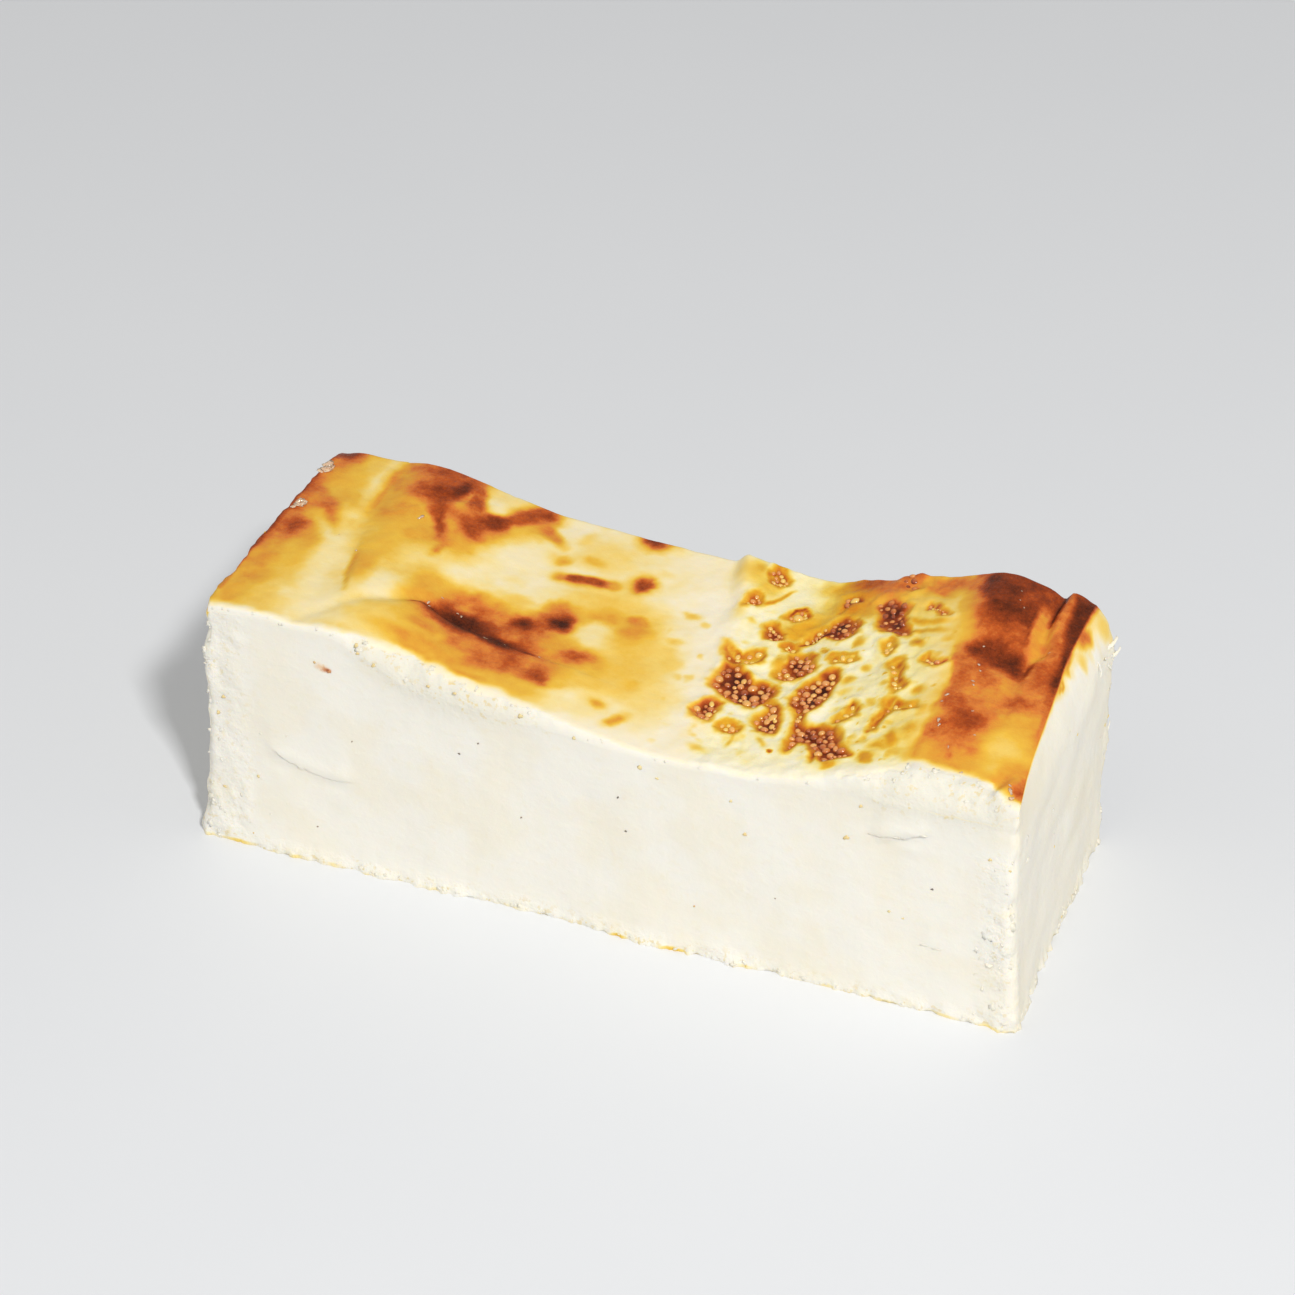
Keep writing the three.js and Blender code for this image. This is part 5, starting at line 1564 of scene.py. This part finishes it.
# %% Scatter the crumbs
# name, how many, wall or part of the top, from and to along it, from and to in height or across it,
# sizes, and the share of yellow ones
CRUMB_ZONES = [
    ("torn_left", 14, "torn", (-64, -12), (0.15, 1), (0.25, 0.60), 0.0),
    ("torn_right", 14, "torn", (60, 90), (0.05, 0.8), (0.25, 0.70), 0.0),
    ("torn_middle", 8, "torn", (-12, 60), (0.2, 1), (0.2, 0.45), 0.0),
    ("torn_start", 8, "torn", (-90, -64), (0.1, 1), (0.2, 0.45), 0.0),
    ("front_left_edge", 30, "front", (-93, -88), (1, 58), (0.25, 0.70), 0.1),
    ("front_left_field", 12, "front", (-86, -72), (1, 45), (0.14, 0.40), 0.1),
    ("front_right_edge", 30, "front", (84, 92), (1, 44), (0.25, 0.90), 0.0),
    ("front_foot", 70, "front", (-93, 93), (0.2, 1.0), (0.18, 0.50), 0.05),
    ("back_foot", 60, "back", (-93, 93), (0.2, 1.0), (0.18, 0.50), 0.05),
    ("right_foot", 44, "right", (-34, 34), (0.2, 1.4), (0.22, 0.65), 0.05),
    ("left_foot", 40, "left", (-34, 34), (0.2, 1.8), (0.22, 0.60), 0.05),
    ("right_back_edge", 44, "right", (31, 35.5), (2, 54), (0.25, 0.75), 0.02),
    ("right_field", 24, "right", (-30, 30), (3, 52), (0.16, 0.45), 0.03),
    ("left_rim", 26, "rim", (-33, 29), (0.2, 1.6), (0.16, 0.36), 0.95),
    ("left_field", 50, "left", (-33, 33), (3, 54), (0.16, 0.45), 0.08),
    ("back_field", 40, "back", (-90, 90), (3, 50), (0.14, 0.36), 0.05),
]
# tears of the front cut: path as (x, z) and how many stretched lumps lie along it
TEAR_LUMPS = [
    ("right_line", [(60.8, 42.7), (65.6, 43.6), (71.6, 45.9)], 3),
    ("small_right", [(72.8, 17.4), (75.4, 17)], 2),
]
TEAR_LUMP_SIZES, TEAR_LUMP_STRETCH, TEAR_LUMP_LEVEL = (0.14, 0.22), (0.9, 0.9, 6.0), 0.03
ALONG_TEAR, TEAR_SCATTER = Vector((1, 0, 0.1)), 0.3
# least and most stretch of a crumb: two ways along its place, and out of it
CRUMB_STRETCH = ((0.7, 0.6, 0.35), (1.8, 1.5, 0.8))
CRUMB_SINK, STRIP_INSET = 0.3, 0.1
# how much a crumb looks like cut cream, and how far that has yellowed
CRUMB_RAWNESS, CRUMB_YELLOWING = 0.7, 0.25
# browning of most crumbs, of yellow ones, and of those under the browned rim
PALE_CRUMB, YELLOW_CRUMB, RIM_CRUMB = (0.01, 0.08), (0.18, 0.34), (0.34, 0.5)


def crumb_copy(place, out, size, stretch, bake_level, run=None):
    """One lump, half sunk at a place, with the browning that its finish reads."""
    sizes = [size * MM * k for k in stretch]
    spin = crumb_rng.uniform(0, 2 * math.pi)
    pattern = lumps[crumb_rng.integers(len(lumps))]
    middle = (place - out * size * CRUMB_SINK) * MM
    made = copy_to(pattern, middle, sizes, run or out, spin)
    lowest = min(v.co.z for v in made.data.vertices)
    if lowest < 0:
        made.data.transform(Matrix.Translation((0, 0, -lowest)))
    store(made.data, "bake", bake_level)
    store(made.data, "cut", CRUMB_RAWNESS)
    store(made.data, "crumble", CRUMB_YELLOWING)
    return made


parts = []
for _, wanted, where, (start, end), (low, high), (small, large), yellow in CRUMB_ZONES:
    for _ in range(wanted):
        across = crumb_rng.uniform(start, end)
        share = crumb_rng.uniform(low, high)
        if where == "torn":
            skin = float(along(SKIN_FRONT, np.array([across]))[0])
            place, out = on_skin(across, blend(skin - STRIP_INSET, -CUT_HALF_WIDTH + STRIP_INSET, share))
        elif where == "rim":
            rim_x = float(along(LEFT_RIM, np.array([across]))[0])
            place, out = on_wall("left", across, on_skin(rim_x, across)[0].z - share)
        else:
            place, out = on_wall(where, across, share)
        size = small + (large - small) * crumb_rng.random() ** 2
        stretch = crumb_rng.uniform(*CRUMB_STRETCH)
        level_here = crumb_rng.uniform(*PALE_CRUMB)
        if crumb_rng.random() < yellow:
            level_here = crumb_rng.uniform(*(RIM_CRUMB if where == "rim" else YELLOW_CRUMB))
        parts.append(crumb_copy(place, out, size, stretch, level_here))
for _, path, wanted in TEAR_LUMPS:
    places = np.array(path)
    for share in np.linspace(0, 1, wanted):
        at = share * (len(path) - 1)
        x, z = (np.interp(at, range(len(path)), places[:, k]) for k in (0, 1))
        x += crumb_rng.uniform(-TEAR_SCATTER, TEAR_SCATTER)
        z += crumb_rng.uniform(-TEAR_SCATTER, TEAR_SCATTER)
        place, out = on_wall("front", x, z)
        size = crumb_rng.uniform(*TEAR_LUMP_SIZES)
        parts.append(crumb_copy(place, out, size, TEAR_LUMP_STRETCH, TEAR_LUMP_LEVEL, ALONG_TEAR))
crumbs = join(parts, "crumbs")
cream.dress(crumbs)
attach(crumbs, "root")
print("crumbs:", len(parts), "lumps,", len(crumbs.data.polygons), "faces")

# %% [markdown]
# ## Shreds
# At the back of the right end the tin held on to a few threads of cream. Each is a thin, curled,
# tapering strip. One is extruded ring by ring from a small circle, with a turn at every step, and
# copied to the other places.

# %% Model one shred and copy it
SHRED_RINGS = 9
SHRED_STEP, SHRED_RADIUS = 0.42, 0.52
SHRED_TURN = 0.13
# how much every third ring widens, how much the others narrow, and how flat each gets
SHRED_WIDER, SHRED_NARROWER, SHRED_FLATNESS = 1.12, 0.84, 0.9
# widths and length of a copy against the model's, in millimetres, and how deep its root is sunk
SHRED_SIZES, SHRED_SINK = (1.5, 1.1, 0.8), 0.7
# place on the right end as (y, z), length against the model's, heading up or down, spin
SHREDS = [
    (31.0, 54.0, 1.1, 0.25, 0.4), (28.5, 52.6, 0.7, 0.5, 2.6), (26.0, 53.2, 0.55, -0.2, 4.0),
    (33.2, 50.4, 0.8, -0.1, 1.4), (29.8, 50.6, 0.6, 0.1, 5.2), (33.6, 40.0, 0.5, 0.3, 3.0),
    (34.0, 29.5, 0.45, 0.1, 0.9), (34.2, 18.0, 0.4, 0.2, 2.0), (24.4, 55.0, 0.4, 0.4, 3.6),
]

bpy.ops.object.select_all(action="DESELECT")
bpy.ops.mesh.primitive_circle_add(vertices=7, radius=SHRED_RADIUS, fill_type="NGON", location=(0, 0, 0))
shred = bpy.context.object
shred.name = "shred"
bpy.ops.object.mode_set(mode="EDIT")
bpy.ops.mesh.select_all(action="SELECT")
middle = Vector((0, 0, 0))
for ring in range(1, SHRED_RINGS):
    angle = ring * SHRED_TURN
    step = Vector((math.sin(angle), 0, math.cos(angle))) * SHRED_STEP
    middle += step
    bpy.ops.mesh.extrude_region_move(TRANSFORM_OT_translate={"value": step})
    bpy.ops.transform.rotate(value=-SHRED_TURN, orient_axis="Y", center_override=middle)
    swell = SHRED_WIDER if ring % 3 == 1 else SHRED_NARROWER
    bpy.ops.transform.resize(value=(swell, SHRED_FLATNESS * swell, swell), center_override=middle)
bpy.ops.mesh.select_all(action="SELECT")
bpy.ops.transform.vertex_random(offset=0.05, seed=5)
bpy.ops.mesh.normals_make_consistent(inside=False)
bpy.ops.object.mode_set(mode="OBJECT")
bpy.ops.object.shade_smooth()
parts = []
for y, z, length, rise, spin in SHREDS:
    place, out = on_wall("right", y, z)
    way = (out + Vector((0, 0.15, rise))).normalized()
    wide, thick, long = SHRED_SIZES
    sizes = (wide * MM, thick * MM, long * length * MM)
    made = copy_to(shred, (place - out * SHRED_SINK) * MM, sizes, way, spin)
    for name, value in (("bake", 0.03), ("cut", 1.0), ("crumble", 0.3)):
        store(made.data, name, value)
    parts.append(made)
shreds = join(parts, "shreds")
cream.dress(shreds)
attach(shreds, "root")
bpy.data.objects.remove(shred)
print("shreds:", len(parts))

# %% [markdown]
# ## Flakes and specks
# Thin pale flakes of dried sugar cling to the browned rims and catch the light. The small pale bits along the
# long dark furrow, on the browned right end and by the clusters are painted highlights, set where the skin
# shows glints.
# In the front cut there are a few straw-coloured specks, and some tiny dark discs that paint the shade in
# small pits.
# All of them are flattened lumps, set almost flush. The one soft brown fleck belongs to the finish of the
# bar.

# %% Flakes on the skin
# x, y, half sizes along and across, heading in degrees
# painted highlights: the rows along the dark furrow (x -49 to -21), on the browned right end (x 66 to 83) and
# by the clusters (x 26 to 49) are pale solids set where glints show; the rest are flakes
FLAKES_AND_GLINTS = [
    (-90.2, 25.8, 1.3, 1.1, 70), (-89.8, 24.0, 1.5, 1.2, 100), (-90.4, 22.6, 0.9, 0.7, 80),
    (-89.3, 24.9, 1.1, 0.8, 10), (-89.3, 9.6, 1.3, 1.1, 60), (-88.7, 8.2, 1.6, 1.2, 100),
    (-89.6, 7.0, 0.9, 0.7, 30), (-88.3, 9.4, 1.0, 0.8, 0), (-48.8, -11.4, 0.5, 0.25, 20),
    (-48.2, -12.2, 0.35, 0.2, 80), (-46.9, -8.2, 0.35, 0.15, 70), (-42.4, -10.4, 0.35, 0.2, 0),
    (-41.4, -10.7, 0.3, 0.2, 50), (-34.2, -14.9, 0.35, 0.25, 10), (-33.4, -15.3, 0.25, 0.2, 40),
    (-29.4, -15.0, 0.25, 0.15, 10), (-21.0, -16.0, 0.3, 0.25, 0), (-62.0, 14.2, 0.9, 0.35, 20),
    (-69.3, -3.6, 0.25, 0.2, 0), (-75.5, 0.8, 0.2, 0.15, 0), (66.7, -7.2, 0.6, 0.25, 70),
    (66.4, -9.4, 0.35, 0.2, 40), (67.6, -15.2, 0.6, 0.3, 110), (68.2, -16.6, 0.5, 0.25, 140),
    (69.9, 4.4, 0.35, 0.25, 60), (70.8, 2.6, 0.3, 0.2, 0), (70.4, -1.2, 0.4, 0.2, 110),
    (70.9, -2.2, 0.3, 0.2, 40), (69.0, 10.6, 0.25, 0.18, 0), (73.4, -10.4, 0.3, 0.15, 0),
    (72.0, -22.0, 0.4, 0.15, 90), (76.0, -17.0, 0.3, 0.15, 60), (72.0, 26.0, 0.2, 0.15, 0),
    (73.4, 24.4, 0.22, 0.15, 30), (71.4, 29.0, 0.18, 0.14, 0), (82.2, 14.4, 0.35, 0.15, 100),
    (88.0, -30.4, 0.8, 0.4, 60), (88.8, -31.8, 1.0, 0.45, 130), (87.4, -29.2, 0.4, 0.2, 90),
    (76.8, -28.2, 0.4, 0.2, 0), (26.2, -12.2, 0.5, 0.35, 70), (47.6, -28.6, 0.5, 0.4, 0),
    (45.4, -27.0, 0.4, 0.25, 60), (48.6, -26.6, 0.3, 0.25, 0),
]
# thickness against width, how far a flake stands off the skin, and how far it may tilt
FLAKE_THICKNESS, FLAKE_LIFT, FLAKE_TILT = 0.16, 0.08, 0.25
parts = []
for x, y, long, wide, turn in FLAKES_AND_GLINTS:
    place, out = on_skin(x, y)
    tilt = Vector((crumb_rng.uniform(-FLAKE_TILT, FLAKE_TILT), crumb_rng.uniform(-FLAKE_TILT, FLAKE_TILT), 0))
    sizes = (long * MM, wide * MM, FLAKE_THICKNESS * wide * MM)
    pattern = lumps[crumb_rng.integers(len(lumps))]
    place = (place + out * FLAKE_LIFT) * MM
    parts.append(copy_to(pattern, place, sizes, (out + tilt).normalized(), math.radians(turn)))
flakes = join(parts, "flakes")
flake_and_glint = Finish("sugar_flake_finish", {
    "Roughness": 0.25,
    "Subsurface Weight": 0.5,
    "Subsurface Scale": 0.6 * MM,
    "Subsurface Radius": (1.0, 0.8, 0.6),
    "Coat Weight": 0.6,
    "Coat Roughness": 0.1,
})
# the same pale tones serve the real flakes and the painted highlights
flake_and_glint_mottle = flake_and_glint.between(flake_and_glint.noise(0.5 * MM, 2.0), 0.35, 0.7)
flake_and_glint.drive("Base Color", flake_and_glint.mix(flake_and_glint_mottle, tone(238, 206, 176), tone(218, 168, 126)))
flake_and_glint.dress(flakes)
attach(flakes, "root")
print("flakes:", len(parts))

# %% Specks in the front cut
# x, z, radius, tint: 0 is straw, 0.5 brown, 1 nearly black; from 0.7 up the discs are painted shade in small
# pits
SPECKS = [
    (-54.6, 59.8, 0.5, 0.1), (-54.7, 57.8, 0.4, 0.15), (-51.1, 55.6, 0.45, 0.1), (-38.5, 53.6, 0.4, 0.1),
    (-32.9, 53.4, 0.4, 0.1), (-17.5, 51.6, 0.6, 0.05), (-5.3, 49.2, 0.4, 0.0), (9.5, 45.7, 0.55, 0.0),
    (13.3, 43.9, 0.35, 0.0), (29.7, 42.6, 0.35, 0.0), (32.9, 34.8, 0.5, 0.13), (57.9, 49.4, 0.4, 0.1),
    (55.0, 40.5, 0.6, 0.16), (85.7, 43.6, 0.4, 0.1), (90.0, 42.0, 0.35, 0.1), (-87.6, 37.6, 0.5, 0.1),
    (-89.1, 32.9, 0.5, 0.1), (-88.3, 13.7, 0.45, 0.1), (-79.9, 18.6, 0.4, 0.0), (-31.8, 37.8, 0.28, 1.0),
    (-27.3, 41.7, 0.24, 0.9), (4.5, 36.4, 0.26, 1.0), (6.3, 28.1, 0.3, 1.0), (73.9, 32.4, 0.3, 1.0),
    (-17.8, 24.6, 0.22, 0.8), (-57, 34, 0.2, 0.7), (40, 20, 0.2, 0.7), (-66, 9, 0.22, 0.7),
    (22, 12.6, 0.22, 0.3), (65, 24, 0.3, 0.0), (68, 23, 0.25, 0.0), (-64.9, 52.8, 0.3, 0.3),
    (-61.6, 51.2, 0.4, 0.45),
]
SPECK_THICKNESS, SPECK_LIFT = 0.10, 0.04
parts = []
for x, z, radius, tint in SPECKS:
    place, out = on_wall("front", x, z)
    sizes = (radius * MM * crumb_rng.uniform(0.8, 1.3), radius * MM * 0.85, SPECK_THICKNESS * MM)
    pattern = lumps[crumb_rng.integers(len(lumps))]
    made = copy_to(pattern, (place + out * SPECK_LIFT) * MM, sizes, out, crumb_rng.uniform(0, 1.2))
    store(made.data, "tint", tint)
    parts.append(made)
specks = join(parts, "specks")
# painted shade: the grey tones from 0.7 to 1 colour the discs set where small pits in the cut lie in shadow
SPECK_TONES = stops([
    (0.0, (240, 222, 164)), (0.2, (233, 204, 140)), (0.5, (204, 134, 84)), (0.7, (168, 152, 132)),
    (1.0, (124, 116, 104)),
])
speck = Finish("speck_finish", {"Roughness": 0.55})
speck_tint = speck.stored("tint") + (speck.noise(0.5 * MM) - 0.5) * 0.2
speck.drive("Base Color", speck.tones(speck_tint, SPECK_TONES))
speck.dress(specks)
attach(specks, "root")
for pattern in lumps:
    bpy.data.objects.remove(pattern)
print("specks:", len(parts))

# %% [markdown]
# ## Floor and light
# The bar stands alone on a plain pale floor. One lamp, high in front and to the right, gives the shadow
# and the glints on the bubbles. A broad, weak one fills from the left, and a pale world lights the
# rest, as a white studio does.

# %% Floor
FLOOR_SIZE = 12.0
bpy.ops.mesh.primitive_plane_add(size=FLOOR_SIZE, location=(0, 0, 0))
floor = bpy.context.object
floor.name = "floor"
pale = Finish("pale_floor_finish", {"Roughness": 0.55})
floor_colour = pale.mix(pale.noise(90 * MM, 3.0) * 0.5, tone(224, 227, 232), tone(230, 232, 236))
pale.drive("Base Color", floor_colour)
pale.dress(floor)

# %% Lamps and world
BAR_MIDDLE = Vector((0, 0, 28)) * MM


def lamp(name, azimuth, elevation, distance, size, power, colour):
    """A square area lamp aimed at the middle of the bar."""
    bpy.ops.object.light_add(type="AREA")
    made = bpy.context.object
    made.name = name
    made.data.size = size
    made.data.energy = power
    made.data.color = colour
    aim(made, BAR_MIDDLE + heading(azimuth, elevation) * distance, BAR_MIDDLE)


lamp("key_lamp", azimuth=40, elevation=47, distance=1.6, size=0.16, power=17.5, colour=(1.0, 0.985, 0.955))
lamp("fill_lamp", azimuth=-50, elevation=40, distance=1.8, size=1.2, power=2.5, colour=(1.0, 0.985, 0.95))
WORLD_COLOUR, WORLD_STRENGTH = (1.0, 0.985, 0.955, 1.0), 0.46
world = bpy.data.worlds.new("studio_world")
bpy.context.scene.world = world
world.use_nodes = True
background = world.node_tree.nodes["Background"]
background.inputs["Color"].default_value = WORLD_COLOUR
background.inputs["Strength"].default_value = WORLD_STRENGTH
bpy.context.scene.view_settings.view_transform = "Standard"
